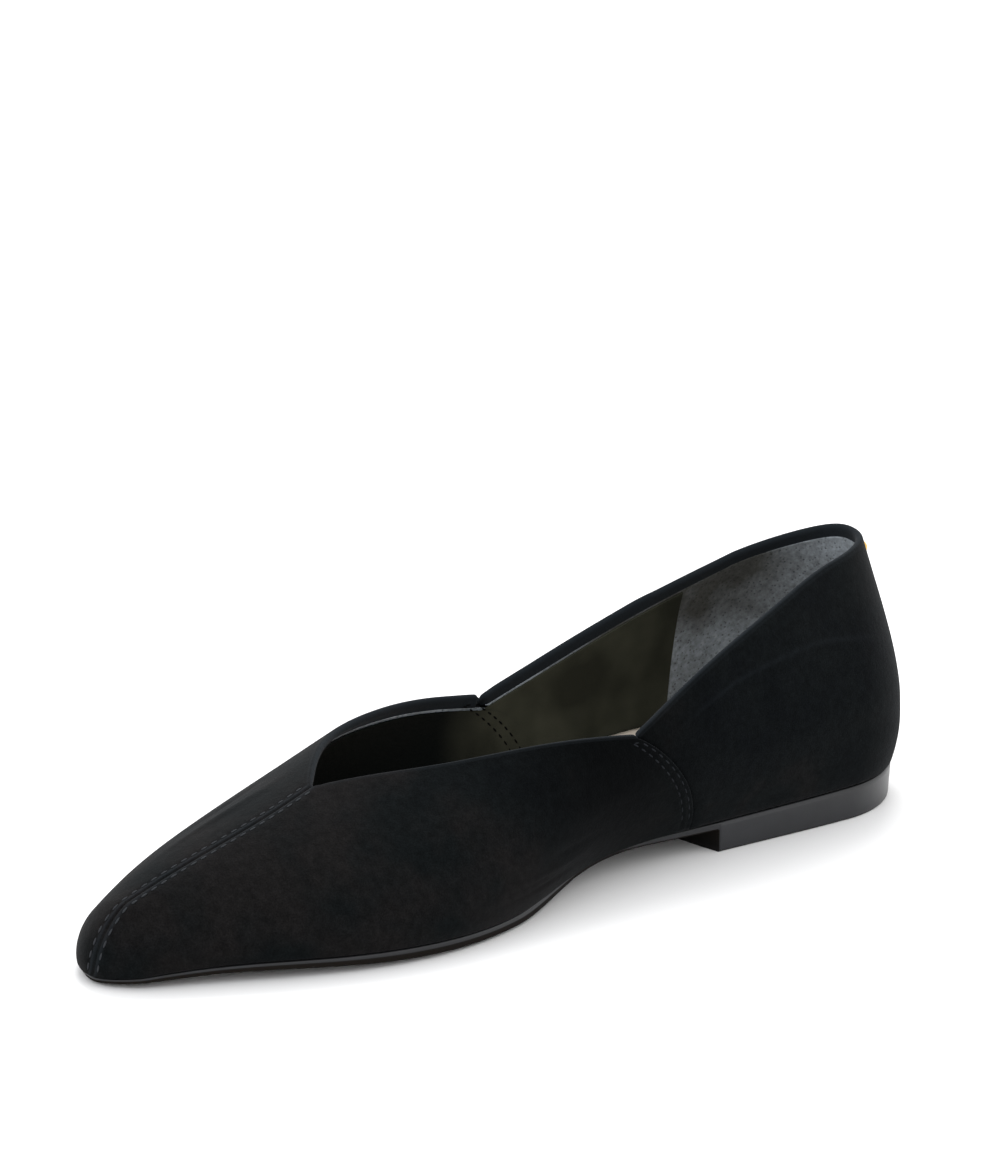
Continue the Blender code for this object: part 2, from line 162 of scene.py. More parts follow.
@dataclass(frozen=True)
class Last:
    """The form that the upper is made over: four rails, and between them the curve of each section.

    A share is the way up a section, from 0 at the feather line, where the upper meets the sole, to 1 at the
    top. A turn is how far from an end the rails start to bend round it, and a sweep how far a side seam leans
    back at its foot. The middle is the place on the last that stands at the origin of the shoe's frame.
    """

    length: float = 263.0
    heel_turn: float = 32.0
    toe_turn: float = 10.0
    throat: float = 193.5
    notch_in: float = 110.0
    notch_out: float = 106.0
    sweep_in: float = 23.0
    sweep_out: float = 18.0
    sweep_curve: float = 1.8
    middle_station: float = 130.985
    middle_across: float = -0.763
    slope_reach: float = 0.5
    slope_share: float = 0.01
    slide_rounds: int = 3

    RAILS = ("feather", "wide", "crown", "top")
    BACK = {"feather": 1.0, "wide": -3.0, "crown": 5.0, "top": 11.5}
    TIP = {"feather": 0.8, "wide": -0.5, "crown": 2.0, "top": 9.5}
    COLUMNS = (
        "station", "feather_z", "feather_in", "feather_out", "wide_in", "wide_out", "wide_z",
        "crown_in", "crown_out", "crown_z", "top_half", "top_z", "top_shift",
    )
    SECTIONS = (
        (0, 10.0, 27.0, 27.5, 34.0, 31.0, 28.5, 21.0, 24.0, 47.0, 15.0, 72.0, 0.0),
        (30, 9.5, 28.0, 30.5, 35.0, 34.0, 31.0, 25.5, 27.5, 50.5, 12.0, 73.0, 0.0),
        (60, 9.0, 26.5, 32.0, 34.5, 35.5, 31.0, 29.5, 30.0, 51.0, 15.5, 72.5, 0.0),
        (90, 8.5, 24.5, 33.0, 34.0, 37.5, 28.5, 31.5, 33.0, 50.0, 10.5, 69.0, 0.0),
        (120, 7.0, 25.0, 35.0, 36.5, 41.0, 25.0, 33.0, 35.0, 48.5, 5.0, 62.0, 0.0),
        (150, 4.5, 34.0, 38.0, 41.5, 45.0, 19.5, 31.5, 33.5, 45.5, 1.5, 51.0, 0.0),
        (180, 4.6, 38.0, 39.0, 43.5, 44.0, 16.0, 27.0, 28.5, 37.5, 0.0, 40.5, 0.0),
        (210, 5.3, 32.0, 32.0, 36.0, 35.0, 14.0, 20.5, 22.5, 31.0, 0.0, 32.5, 2.6),
        (240, 5.2, 18.5, 20.0, 22.0, 21.0, 11.5, 13.0, 14.5, 24.0, 0.0, 24.5, 2.6),
        (262, 2.6, 7.5, 10.0, 10.5, 11.0, 7.5, 6.0, 6.0, 15.0, 0.0, 17.5, 2.6),
    )
    # way along the cut, share covered on the inner side, share covered on the outer side
    QUARTER_CUT = ((0.0, 0.935, 0.935), (0.333, 0.89, 0.765), (0.667, 0.75, 0.575), (1.0, 0.545, 0.402))
    VAMP_CUT = ((0.0, 0.545, 0.402), (0.333, 0.67, 0.54), (0.667, 0.8, 0.695), (1.0, 1.0, 1.0))

    def curve(self, name: str) -> NaturalCurve:
        """Return the curve along the shoe of one column of the section table."""
        column = self.COLUMNS.index(name)
        return NaturalCurve([row[0] for row in self.SECTIONS], [row[column] for row in self.SECTIONS])

    def notch(self, side: Side) -> float:
        """Return where vamp and quarter meet at the topline."""
        return self.notch_in if side is Side.IN else self.notch_out

    def turned(self, along: np.ndarray, back: float, tip: float) -> tuple[np.ndarray, np.ndarray]:
        """Turn a rail round the heel and the toe.

        Args:
            along: Places along the rail.
            back: The rail's station at the heel.
            tip: How far the rail stops short of the toe.

        Returns:
            The stations and the width factors.
        """
        heel = along / self.heel_turn * math.pi / 2.0
        toe = (self.length - along) / self.toe_turn * math.pi / 2.0
        in_heel = along < self.heel_turn
        in_toe = along > self.length - self.toe_turn
        station = np.where(in_heel, self.heel_turn - (self.heel_turn - back) * np.cos(heel), along)
        toe_station = self.length - self.toe_turn + (self.toe_turn - tip) * np.cos(toe)
        station = np.where(in_toe, toe_station, station)
        return station, np.where(in_heel, np.sin(heel), np.where(in_toe, np.sin(toe), 1.0))

    def rail(self, side: Side, along: np.ndarray, name: str) -> np.ndarray:
        """Return a rail's points.

        Args:
            side: The side of the shoe.
            along: Places along the rail.
            name: One of the rails' names.

        Returns:
            The points, each as station, across and up.
        """
        station, factor = self.turned(along, self.BACK[name], self.TIP[name])
        up = self.curve(name + "_z")(station)
        if name == "top":
            half = np.where(along < self.throat, np.maximum(self.curve("top_half")(station), 0.0), 0.0)
            shift = self.curve("top_shift")(station)
        else:
            half = self.curve(name + ("_in" if side is Side.IN else "_out"))(station)
            shift = 0.0
        return np.stack([station, side.value * half * factor + shift, up], axis=-1)

    def surface(self, side: Side, along: np.ndarray, share: np.ndarray) -> np.ndarray:
        """Return points of the last's surface.

        Args:
            side: The side of the shoe.
            along: Places along the shoe.
            share: Shares of the sections.

        Returns:
            The points.
        """
        feather, wide, crown, top = (self.rail(side, along, name) for name in self.RAILS)
        s = share[:, None]
        rest = 1.0 - s
        return rest ** 3 * feather + 3.0 * s * rest ** 2 * wide + 3.0 * s ** 2 * rest * crown + s ** 3 * top

    def slopes(self, side: Side, along: np.ndarray, share: np.ndarray) -> tuple[np.ndarray, np.ndarray]:
        """Return how the surface runs at each place.

        Args:
            side: The side of the shoe.
            along: Places along the shoe.
            share: Shares of the sections.

        Returns:
            The surface's change per millimetre along the shoe and per whole share.
        """
        reach, step = self.slope_reach, self.slope_share
        low, high = np.maximum(along - reach, 0.0), np.minimum(along + reach, self.length)
        lengthwise = self.surface(side, high, share) - self.surface(side, low, share)
        lengthwise /= (high - low)[:, None]
        at_end = (low <= 0.0) | (high >= self.length)
        level = lengthwise * np.array([0.0, 1.0, 0.0])
        lengthwise = np.where(at_end[:, None], level, lengthwise)
        up, down = np.minimum(share + step, 1.0), np.maximum(share - step, 0.0)
        upwards = (self.surface(side, along, up) - self.surface(side, along, down)) / (up - down)[:, None]
        return lengthwise, upwards

    def normal(self, side: Side, along: np.ndarray, share: np.ndarray) -> np.ndarray:
        """Return the surface's outward unit normals.

        Args:
            side: The side of the shoe.
            along: Places along the shoe.
            share: Shares of the sections.

        Returns:
            The normals.
        """
        lengthwise, upwards = self.slopes(side, along, share)
        normal = np.cross(upwards, lengthwise) * side.value
        return normal / np.maximum(np.linalg.norm(normal, axis=1, keepdims=True), 1e-9)

    def moved(
        self, side: Side, along: np.ndarray, share: np.ndarray, move: np.ndarray
    ) -> tuple[np.ndarray, np.ndarray]:
        """Slide places over the surface by a small move in millimetres.

        Args:
            side: The side of the shoe.
            along: Places along the shoe.
            share: Shares of the sections.
            move: The moves, as station, across and up.

        Returns:
            The new places and shares.
        """
        target = self.surface(side, along, share) + move
        for _ in range(self.slide_rounds):
            error = target - self.surface(side, along, share)
            lengthwise, upwards = self.slopes(side, along, share)
            a, b, c = ((lengthwise ** 2).sum(1), (lengthwise * upwards).sum(1), (upwards ** 2).sum(1))
            p, q = (error * lengthwise).sum(1), (error * upwards).sum(1)
            det = np.maximum(a * c - b * b, 1e-9)
            along = along + (p * c - q * b) / det
            share = np.clip(share + (q * a - p * b) / det, 0.0, 1.0)
        return along, share

    def covered(self, side: Side, along: np.ndarray, quarter: bool) -> np.ndarray:
        """Return how much of each section the suede covers.

        Args:
            side: The side of the shoe.
            along: Places along the topline.
            quarter: Whether the quarter covers it, and not the vamp.

        Returns:
            The shares of the sections.
        """
        column = 1 if side is Side.IN else 2
        notch = self.notch(side)
        if quarter:
            ways = [row[0] * notch for row in self.QUARTER_CUT]
            shares = [row[column] for row in self.QUARTER_CUT]
            cut = NaturalCurve([-w for w in reversed(ways[1:])] + ways, shares[:0:-1] + shares)
            return cut(along)
        ways = [notch + row[0] * (self.throat - notch) for row in self.VAMP_CUT]
        cut = NaturalCurve(ways, [row[column] for row in self.VAMP_CUT])
        return np.where(along < self.throat, cut(np.minimum(along, self.throat)), 1.0)

    def leaned(self, side: Side, along: np.ndarray, way: np.ndarray) -> np.ndarray:
        """Lean the upper's columns back, so that they run along the side seam.

        Args:
            side: The side of the shoe.
            along: The columns' places at the topline.
            way: The share of the way up to the rim.

        Returns:
            The columns' places at that height.
        """
        notch = self.notch(side)
        near = np.where(
            along < notch,
            smooth((along - self.heel_turn) / (notch - self.heel_turn)),
            smooth((self.throat - along) / (self.throat - notch)),
        )
        sweep = self.sweep_in if side is Side.IN else self.sweep_out
        return along - sweep * near * (1.0 - way ** self.sweep_curve)

    def inset(self, side: Side, along: np.ndarray, inset: np.ndarray) -> np.ndarray:
        """Return points of the feather line, moved in towards the middle of the foot.

        Args:
            side: The side of the shoe.
            along: Places along the feather line.
            inset: How far they are moved in.

        Returns:
            The points.
        """
        station, factor = self.turned(along, self.BACK["feather"] + inset, self.TIP["feather"] + inset)
        half = self.curve("feather_in" if side is Side.IN else "feather_out")(station) - inset
        return np.stack([station, side.value * half * factor, self.curve("feather_z")(station)], axis=-1)

    def placed(self, points: np.ndarray) -> np.ndarray:
        """Turn points of the last, in millimetres, to the shoe's frame in metres."""
        station, across, up = points[:, ALONG], points[:, ACROSS], points[:, UP]
        return np.stack([across - self.middle_across, self.middle_station - station, up], axis=-1) * MM


LAST = Last()


def dot(a: np.ndarray, b: np.ndarray) -> np.ndarray:
    """Return the dot product of each pair of rows, as a column."""
    return (a * b).sum(axis=1, keepdims=True)


def unit(a: np.ndarray) -> np.ndarray:
    """Return each row at a length of one."""
    return a / np.maximum(np.linalg.norm(a, axis=1, keepdims=True), 1e-9)


def grid(columns: int, rows: int) -> tuple[bmesh.types.BMesh, np.ndarray, np.ndarray]:
    """Make a square grid to lay over a surface.

    Args:
        columns: How many columns of points.
        rows: How many rows of points.

    Returns:
        The bmesh, and the column and row number of each of its points.
    """
    bm = bmesh.new()
    bmesh.ops.create_grid(bm, x_segments=columns - 1, y_segments=rows - 1, size=0.5)
    places = np.array([vert.co[:] for vert in bm.verts])
    across = np.rint((places[:, X] + 0.5) * (columns - 1)).astype(int)
    upward = np.rint((places[:, Y] + 0.5) * (rows - 1)).astype(int)
    return bm, across, upward


def lay(bm: bmesh.types.BMesh, points: np.ndarray, flip: bool) -> None:
    """Move a grid's points to their places on the last.

    Args:
        bm: The grid.
        points: The places, as station, across and up.
        flip: Whether its faces are turned over.
    """
    for vert, place in zip(bm.verts, LAST.placed(points)):
        vert.co = place
    if flip:
        bmesh.ops.reverse_faces(bm, faces=bm.faces)


def joined(parts: list[bmesh.types.BMesh]) -> bmesh.types.BMesh:
    """Join several bmeshes into the first.

    Args:
        parts: The bmeshes, of which all but the first are freed.

    Returns:
        The first.
    """
    whole = parts[0]
    for part in parts[1:]:
        carrier = bpy.data.meshes.new("carrier")
        part.to_mesh(carrier)
        part.free()
        whole.from_mesh(carrier)
        bpy.data.meshes.remove(carrier)
    return whole


def spans(*stops: tuple[float, int]) -> np.ndarray:
    """Return evenly spaced values between stops.

    Args:
        stops: Each stop's value, and the count of steps from it to the next.

    Returns:
        The values, the last stop included.
    """
    parts = [np.linspace(a[0], b[0], a[1], endpoint=False) for a, b in zip(stops, stops[1:])]
    return np.concatenate(parts + [[stops[-1][0]]])


def piece(
    name: str, bm: bmesh.types.BMesh, finish: bpy.types.Material, nodes: tuple[str, ...] = ()
) -> None:
    """Weld a bmesh, make it a shown piece and tie it to the frame.

    Args:
        name: The piece's name.
        bm: Its mesh, which is freed.
        finish: Its material.
        nodes: The CAD nodes that it stands for.
    """
    bmesh.ops.remove_doubles(bm, verts=bm.verts, dist=WELD * MM)
    bmesh.ops.dissolve_degenerate(bm, edges=bm.edges, dist=WELD * MM / 4.0)
    mesh = bpy.data.meshes.new(name)
    bm.to_mesh(mesh)
    bm.free()
    mesh.materials.append(finish)
    mesh.shade_smooth()
    made = bpy.data.objects.new(name, mesh)
    bpy.context.scene.collection.objects.link(made)
    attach(made, "root")
    if nodes:
        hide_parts(*nodes)
    LOG.info("%s: %d faces", name, len(mesh.polygons))


class Node(Enum):
    """The shader nodes that the finishes are made of, with the renderer's names for them."""

    ATTRIBUTE = "ShaderNodeAttribute"
    BUMP = "ShaderNodeBump"
    MATH = "ShaderNodeMath"
    MIX = "ShaderNodeMix"
    NOISE = "ShaderNodeTexNoise"
    PLACE = "ShaderNodeTexCoord"
    PORES = "ShaderNodeTexVoronoi"
    RAMP = "ShaderNodeValToRGB"
    RANGE = "ShaderNodeMapRange"
    SPLIT = "ShaderNodeSeparateXYZ"
    WAVE = "ShaderNodeTexWave"


def set_stops(elements: bpy.types.ColorRampElements, stops: tuple[tuple[float, str], ...]) -> None:
    """Give a colour ramp its stops.

    Args:
        elements: The ramp's elements.
        stops: Each stop's place and hex colour.
    """
    while len(elements) < len(stops):
        elements.new(0.5)
    for element, (place, colour) in zip(elements, stops):
        element.position = place
        element.color = linear(colour)


def scale_of(size: float) -> float:
    """Return the pattern scale at which features are about this many millimetres across."""
    return 1.0 / (size * MM)


class Finish:
    """A material being made, with its node tree, its shader and its Object coordinates."""

    def __init__(self, name: str, sockets: dict[str, Any]) -> None:
        """Start a material.

        Args:
            name: The material's name.
            sockets: Values of the shader's own inputs.
        """
        self.made = bpy.data.materials.new(name)
        self.made.use_nodes = True
        self.tree = self.made.node_tree
        self.shader = self.tree.nodes["Principled BSDF"]
        for key, value in sockets.items():
            self.shader.inputs[key].default_value = value
        self.at = self.add(Node.PLACE, "Object", {})

    def add(self, kind: Node, output: str | int, settings: dict[str, Any], **links: Any) -> Any:
        """Add a node with its settings and links.

        Args:
            kind: The kind of node.
            output: The wanted output's name or number.
            settings: Attributes by name, values of inputs by a name or number after "in:", and a
                ramp's "stops".
            links: Outputs by input name, with underscores for spaces, or "i" and the input's number.

        Returns:
            The wanted output.
        """
        node = self.tree.nodes.new(kind.value)
        for key, value in settings.items():
            if key == "stops":
                set_stops(node.color_ramp.elements, value)
            elif key.startswith("in:"):
                socket = key[3:]
                node.inputs[int(socket) if socket.isdigit() else socket].default_value = value
            else:
                setattr(node, key, value)
        for key, source in links.items():
            target = int(key[1:]) if key[0] == "i" and key[1:].isdigit() else key.replace("_", " ")
            self.tree.links.new(source, node.inputs[target])
        return node.outputs[output]

    def close(self, **links: Any) -> bpy.types.Material:
        """Link outputs to the shader.

        Args:
            links: Outputs by the shader's input name, with underscores for spaces.

        Returns:
            The material.
        """
        for key, source in links.items():
            self.tree.links.new(source, self.shader.inputs[key.replace("_", " ")])
        return self.made


@dataclass(frozen=True)
class KidSuede:
    """Black kid suede: leather buffed on the flesh side to a short nap.

    The nap has no gloss and glows at grazing angles. Where it lies another way it looks bluer or browner,
    in soft patches of a few centimetres, with a finer mottle and single fibres. It is browner towards the
    toe. Painted shade darkens it round the side seams, and painted highlights, read from the points'
    attribute, pale the counter's lip, the cut edges, the rim and the edges beside the middle seam. Sizes of
    patterns are in millimetres, and places along the shoe in metres.
    """

    dark: str = "#0c0f11"
    blue: str = "#111415"
    brown: str = "#1a1919"
    # The colour of the painted highlights.
    painted_highlight: str = "#2b3035"
    glow: str = "#e4e6ea"
    sheen: float = 0.06
    half_length: float = 0.12
    toe_shift: float = 0.13
    # Painted shade: where the band of shade round the side seams lies, how wide it is and how dark it gets.
    seam_shade_at: float = 0.012
    seam_shade_reach: float = 0.045
    seam_shade_share: float = 0.35
    patch: float = 26.0
    mottle: float = 2.2
    fibre: float = 0.45
    mottle_depth: float = 0.12
    fibre_depth: float = 0.10

    def build(self) -> bpy.types.Material:
        """Make the material.

        Returns:
            The material.
        """
        finish = Finish("black_kid_suede", {
            "Roughness": 1.0, "Specular IOR Level": 0.02, "Sheen Weight": self.sheen, "Sheen Roughness": 0.4,
            "Sheen Tint": linear(self.glow),
        })
        patches = finish.add(Node.NOISE, "Fac", {
            "in:Scale": scale_of(self.patch), "in:Detail": 3.0, "in:Roughness": 0.55,
        }, Vector=finish.at)
        mottle = finish.add(Node.NOISE, "Fac", {
            "in:Scale": scale_of(self.mottle), "in:Detail": 4.0, "in:Roughness": 0.6,
        }, Vector=finish.at)
        fibres = finish.add(Node.NOISE, "Fac", {
            "in:Scale": scale_of(self.fibre), "in:Detail": 2.0, "in:Roughness": 0.7,
        }, Vector=finish.at)
        along = finish.add(Node.SPLIT, "Y", {}, Vector=finish.at)
        shift = finish.add(Node.RANGE, "Result", {
            "in:From Min": self.half_length, "in:From Max": -self.half_length,
            "in:To Min": -self.toe_shift, "in:To Max": self.toe_shift,
        }, Value=along)
        patches = finish.add(Node.MATH, "Value", {"operation": "ADD"}, i0=patches, i1=shift)
        colour = finish.add(Node.RAMP, "Color", {
            "stops": ((0.3, self.dark), (0.5, self.blue), (0.68, self.brown)),
        }, Fac=patches)
        softer = finish.add(Node.RAMP, "Color", {"stops": ((0.32, "#828282"), (0.68, "#ffffff"))}, Fac=mottle)
        grain = finish.add(Node.RAMP, "Color", {"stops": ((0.3, "#7a7a7a"), (0.7, "#ffffff"))}, Fac=fibres)
        # Painted shade: darken the suede in a band round the side seams, for the shade over the waist.
        from_seam = finish.add(Node.MATH, "Value", {
            "operation": "SUBTRACT", "in:1": self.seam_shade_at,
        }, i0=along)
        from_seam = finish.add(Node.MATH, "Value", {"operation": "ABSOLUTE"}, i0=from_seam)
        seam_shade = finish.add(Node.RANGE, "Result", {
            "interpolation_type": "SMOOTHSTEP", "in:From Max": self.seam_shade_reach,
            "in:To Min": self.seam_shade_share,
        }, Value=from_seam)
        for amount, shade in ((0.5, softer), (0.6, grain), (1.0, seam_shade)):
            colour = finish.add(Node.MIX, 2, {
                "data_type": "RGBA", "blend_type": "MULTIPLY", "in:0": amount,
            }, i6=colour, i7=shade)
        # Painted highlight: the points' attribute pales the nap where light would catch the counter's lip,
        # the cut edges, the rim and the edges beside the middle seam.
        rub = finish.add(Node.ATTRIBUTE, "Fac", {"attribute_name": HIGHLIGHT})
        colour = finish.add(Node.MIX, 2, {
            "data_type": "RGBA", "in:7": linear(self.painted_highlight),
        }, i0=rub, i6=colour)
        bumped = finish.add(Node.BUMP, "Normal", {"in:Distance": self.mottle_depth * MM}, Height=mottle)
        bumped = finish.add(Node.BUMP, "Normal", {
            "in:Distance": self.fibre_depth * MM,
        }, Height=fibres, Normal=bumped)
        return finish.close(Base_Color=colour, Normal=bumped)


@dataclass(frozen=True)
class LiningLeather:
    """Thin dyed lining leather, finished smooth, with a low satin gloss and fine creases.

    The olive of the back part goes over to a green black towards the toe, as painted shade for the dark
    inside of the toe.
    """

    dark: str = "#24251f"
    light: str = "#393a31"
    # The painted shade deep inside the toe.
    toe: str = "#060909"
    patch: float = 18.0
    grain: float = 0.5
    grain_depth: float = 0.04
    shade_start: float = 0.030
    shade_end: float = 0.010

    def build(self) -> bpy.types.Material:
        """Make the material.

        Returns:
            The material.
        """
        finish = Finish("dyed_lining_leather", {"Specular IOR Level": 0.025})
        patches = finish.add(Node.NOISE, "Fac", {"in:Scale": scale_of(self.patch)}, Vector=finish.at)
        grain = finish.add(Node.NOISE, "Fac", {
            "in:Scale": scale_of(self.grain), "in:Detail": 3.0,
        }, Vector=finish.at)
        olive = finish.add(Node.RAMP, "Color", {"stops": ((0.35, self.dark), (0.7, self.light))}, Fac=patches)
        along = finish.add(Node.SPLIT, "Y", {}, Vector=finish.at)
        # Painted shade: the lining darkens towards the toe, deep inside the shoe.
        toe_shade = finish.add(Node.RANGE, "Result", {
            "interpolation_type": "SMOOTHSTEP", "in:From Min": self.shade_start, "in:From Max": self.shade_end,
        }, Value=along)
        colour = finish.add(Node.MIX, 2, {
            "data_type": "RGBA", "in:7": linear(self.toe),
        }, i0=toe_shade, i6=olive)
        rough = finish.add(Node.RANGE, "Result", {**MIDDLE, "in:To Min": 0.5, "in:To Max": 0.66}, Value=grain)
        bumped = finish.add(Node.BUMP, "Normal", {"in:Distance": self.grain_depth * MM}, Height=grain)
        return finish.close(Base_Color=colour, Roughness=rough, Normal=bumped)


@dataclass(frozen=True)
class PigskinGrip:
    """Grey pigskin heel grip: matt leather with bristle pores about 1.2 mm apart and faint wrinkles.

    Painted light makes its back part, which faces the light, a paler blue grey; it is also paler low down.
    """

    light: str = "#8c949b"
    dark: str = "#414240"
    pore_gap: float = 1.2
    pore_depth: float = 0.12
    wrinkle: float = 1.6
    wrinkle_depth: float = 0.1
    cloud: float = 14.0
    # Painted light: where the back part, which faces the light, starts to turn paler and where it is palest;
    # and where it turns paler low down.
    lit_from: float = 0.104
    lit_to: float = 0.128
    low_from: float = 0.043
    low_to: float = 0.033

    def build(self) -> bpy.types.Material:
        """Make the material.

        Returns:
            The material.
        """
        finish = Finish("grey_pigskin", {"Roughness": 0.7, "Specular IOR Level": 0.3})
        cloud = finish.add(Node.NOISE, "Fac", {
            "in:Scale": scale_of(self.cloud), "in:Detail": 3.0,
        }, Vector=finish.at)
        cloud = finish.add(Node.RANGE, "Result", {**MIDDLE, "in:To Min": 0.4, "in:To Max": 0.6}, Value=cloud)
        creases = finish.add(Node.NOISE, "Fac", {
            "in:Scale": scale_of(self.wrinkle), "in:Detail": 4.0, "in:Roughness": 0.7,
        }, Vector=finish.at)
        pores = finish.add(Node.PORES, "Distance", {
            "feature": "F1", "in:Scale": scale_of(self.pore_gap), "in:Randomness": 0.9,
        }, Vector=finish.at)
        # Painted light: paler towards the back, which faces the light, and paler low down.
        behind = finish.add(Node.RANGE, "Result", {
            "in:From Min": self.lit_from, "in:From Max": self.lit_to, "in:To Min": -0.2, "in:To Max": 0.22,
        }, Value=finish.add(Node.SPLIT, "Y", {}, Vector=finish.at))
        low = finish.add(Node.RANGE, "Result", {
            "in:From Min": self.low_from, "in:From Max": self.low_to, "in:To Min": -0.2, "in:To Max": 0.14,
        }, Value=finish.add(Node.SPLIT, "Z", {}, Vector=finish.at))
        pale = finish.add(Node.MATH, "Value", {"operation": "MAXIMUM"}, i0=behind, i1=low)
        cloud = finish.add(Node.MATH, "Value", {"operation": "ADD"}, i0=cloud, i1=pale)
        colour = finish.add(Node.RAMP, "Color", {"stops": ((0.3, self.dark), (0.7, self.light))}, Fac=cloud)
        # Painted shade: the wrinkles are darkened in colour as well as dented.
        shade = finish.add(Node.RAMP, "Color", {"stops": ((0.3, "#a2a2a2"), (0.62, "#ffffff"))}, Fac=creases)
        spots = finish.add(Node.RAMP, "Color", {"stops": ((0.1, "#777777"), (0.3, "#ffffff"))}, Fac=pores)
        for darker in (shade, spots):
            colour = finish.add(Node.MIX, 2, {
                "data_type": "RGBA", "blend_type": "MULTIPLY", "in:0": 0.8,
            }, i6=colour, i7=darker)
        bumped = finish.add(Node.BUMP, "Normal", {"in:Distance": self.wrinkle_depth * MM}, Height=creases)
        bumped = finish.add(Node.BUMP, "Normal", {
            "in:Distance": self.pore_depth * MM,
        }, Height=pores, Normal=bumped)
        return finish.close(Base_Color=colour, Normal=bumped)


@dataclass(frozen=True)
class MouldedRubber:
    """Injection-moulded thermoplastic rubber: charcoal, with an even low gloss from the mould.

    The tread and the lower edge of the forepart are a matt brown black, partly the rubber's own colour and
    partly painted shade; the breast and the sole's top beside the upper take it as painted shade.
    """

    dark: str = "#1a1b1d"
    light: str = "#212225"
    # The brown black of the tread, also used as painted shade.
    tread: str = "#15120f"
    cloud: float = 12.0
    grain: float = 0.5
    grain_depth: float = 0.015

    def build(self) -> bpy.types.Material:
        """Make the material.

        Returns:
            The material.
        """
        finish = Finish("moulded_rubber", {})
        cloud = finish.add(Node.NOISE, "Fac", {
            "in:Scale": scale_of(self.cloud), "in:Detail": 3.0,
        }, Vector=finish.at)
        grain = finish.add(Node.NOISE, "Fac", {"in:Scale": scale_of(self.grain)}, Vector=finish.at)
        grey = finish.add(Node.RAMP, "Color", {"stops": ((0.3, self.dark), (0.7, self.light))}, Fac=cloud)
        # The tread colour: the tread's own colour underneath, and painted shade on the breast, the lower
        # forepart edge and the sole's top beside the upper.
        tread = finish.add(Node.ATTRIBUTE, "Fac", {"attribute_name": TREAD_AND_SHADE})
        colour = finish.add(Node.MIX, 2, {"data_type": "RGBA", "in:7": linear(self.tread)}, i0=tread, i6=grey)
        rough = finish.add(Node.RANGE, "Result", {**MIDDLE, "in:To Min": 0.34, "in:To Max": 0.6}, Value=tread)
        gloss = finish.add(Node.RANGE, "Result", {
            **MIDDLE, "in:To Min": 0.35, "in:To Max": 0.04,
        }, Value=tread)
        bumped = finish.add(Node.BUMP, "Normal", {"in:Distance": self.grain_depth * MM}, Height=grain)
        return finish.close(Base_Color=colour, Roughness=rough, Specular_IOR_Level=gloss, Normal=bumped)


@dataclass(frozen=True)
class SockLeather:
    """Cream sheepskin sock: smooth, soft leather with a faint grain."""

    light: str = "#d8cdbf"
    dark: str = "#c9bcac"
    cloud: float = 9.0
    grain: float = 0.6
    grain_depth: float = 0.04

    def build(self) -> bpy.types.Material:
        """Make the material.

        Returns:
            The material.
        """
        finish = Finish("cream_sheepskin", {"Roughness": 0.55, "Specular IOR Level": 0.4})
        cloud = finish.add(Node.NOISE, "Fac", {
            "in:Scale": scale_of(self.cloud), "in:Detail": 3.0,
        }, Vector=finish.at)
        grain = finish.add(Node.NOISE, "Fac", {
            "in:Scale": scale_of(self.grain), "in:Detail": 3.0,
        }, Vector=finish.at)
        colour = finish.add(Node.RAMP, "Color", {"stops": ((0.3, self.dark), (0.7, self.light))}, Fac=cloud)
        bumped = finish.add(Node.BUMP, "Normal", {"in:Distance": self.grain_depth * MM}, Height=grain)
        return finish.close(Base_Color=colour, Normal=bumped)


@dataclass(frozen=True)
class GiltBrass:
    """Turned brass with a polished gilt finish, faintly worn."""

    colour: str = "#d9b26a"
    wear: float = 0.6
    wear_depth: float = 0.01

    def build(self) -> bpy.types.Material:
        """Make the material.

        Returns:
            The material.
        """
        finish = Finish("gilt_brass", {"Metallic": 1.0, "Base Color": linear(self.colour)})
        wear = finish.add(Node.NOISE, "Fac", {
            "in:Scale": scale_of(self.wear), "in:Detail": 3.0,
        }, Vector=finish.at)
        rough = finish.add(Node.RANGE, "Result", {**MIDDLE, "in:To Min": 0.18, "in:To Max": 0.32}, Value=wear)
        bumped = finish.add(Node.BUMP, "Normal", {"in:Distance": self.wear_depth * MM}, Height=wear)
        return finish.close(Roughness=rough, Normal=bumped)


@dataclass(frozen=True)
class WaxedThread:
    """Bonded polyester thread, lightly waxed, whose twist of about 0.4 mm shows as slanting ridges."""

    name: str
    colour: str
    gloss: float
    twist: float = 0.4
    twist_depth: float = 0.06

    # A wave texture has twenty bands to a unit of its scale, and a twist has two plies.
    BANDS = 20.0
    PLIES = 2.0

    def build(self) -> bpy.types.Material:
        """Make the material.

        Returns:
            The material.
        """
        finish = Finish(self.name, {
            "Base Color": linear(self.colour), "Roughness": 0.8, "Specular IOR Level": self.gloss,
        })
        ridges = finish.add(Node.WAVE, "Fac", {
            "bands_direction": "DIAGONAL", "in:Scale": scale_of(self.twist) / self.BANDS * self.PLIES,
            "in:Distortion": 0.4,
        }, Vector=finish.at)
        bumped = finish.add(Node.BUMP, "Normal", {"in:Distance": self.twist_depth * MM}, Height=ridges)
        return finish.close(Normal=bumped)


# Row plan of the upper's grids. The margin turns in under the foot, the outside climbs to one rim radius
# below the topline, the rim rolls over it and the fold runs down the inside.
MARGIN_ROWS = np.array([3.5, 2.0, 0.9, 0.3])
OUTSIDE_ROWS = np.concatenate([
    [0.0, 0.006, 0.014, 0.026, 0.042], np.linspace(0.06, 0.9, 48), [0.914, 0.928, 0.941, 0.953, 0.963, 0.971],
    [0.978, 0.984, 0.988, 0.9915, 0.994, 0.9962, 0.998, 1.0],
])
RIM_ROWS = np.linspace(0.0, math.pi, 13)[1:]
FOLD_ROWS = np.array([0.8, 1.6, 2.3])


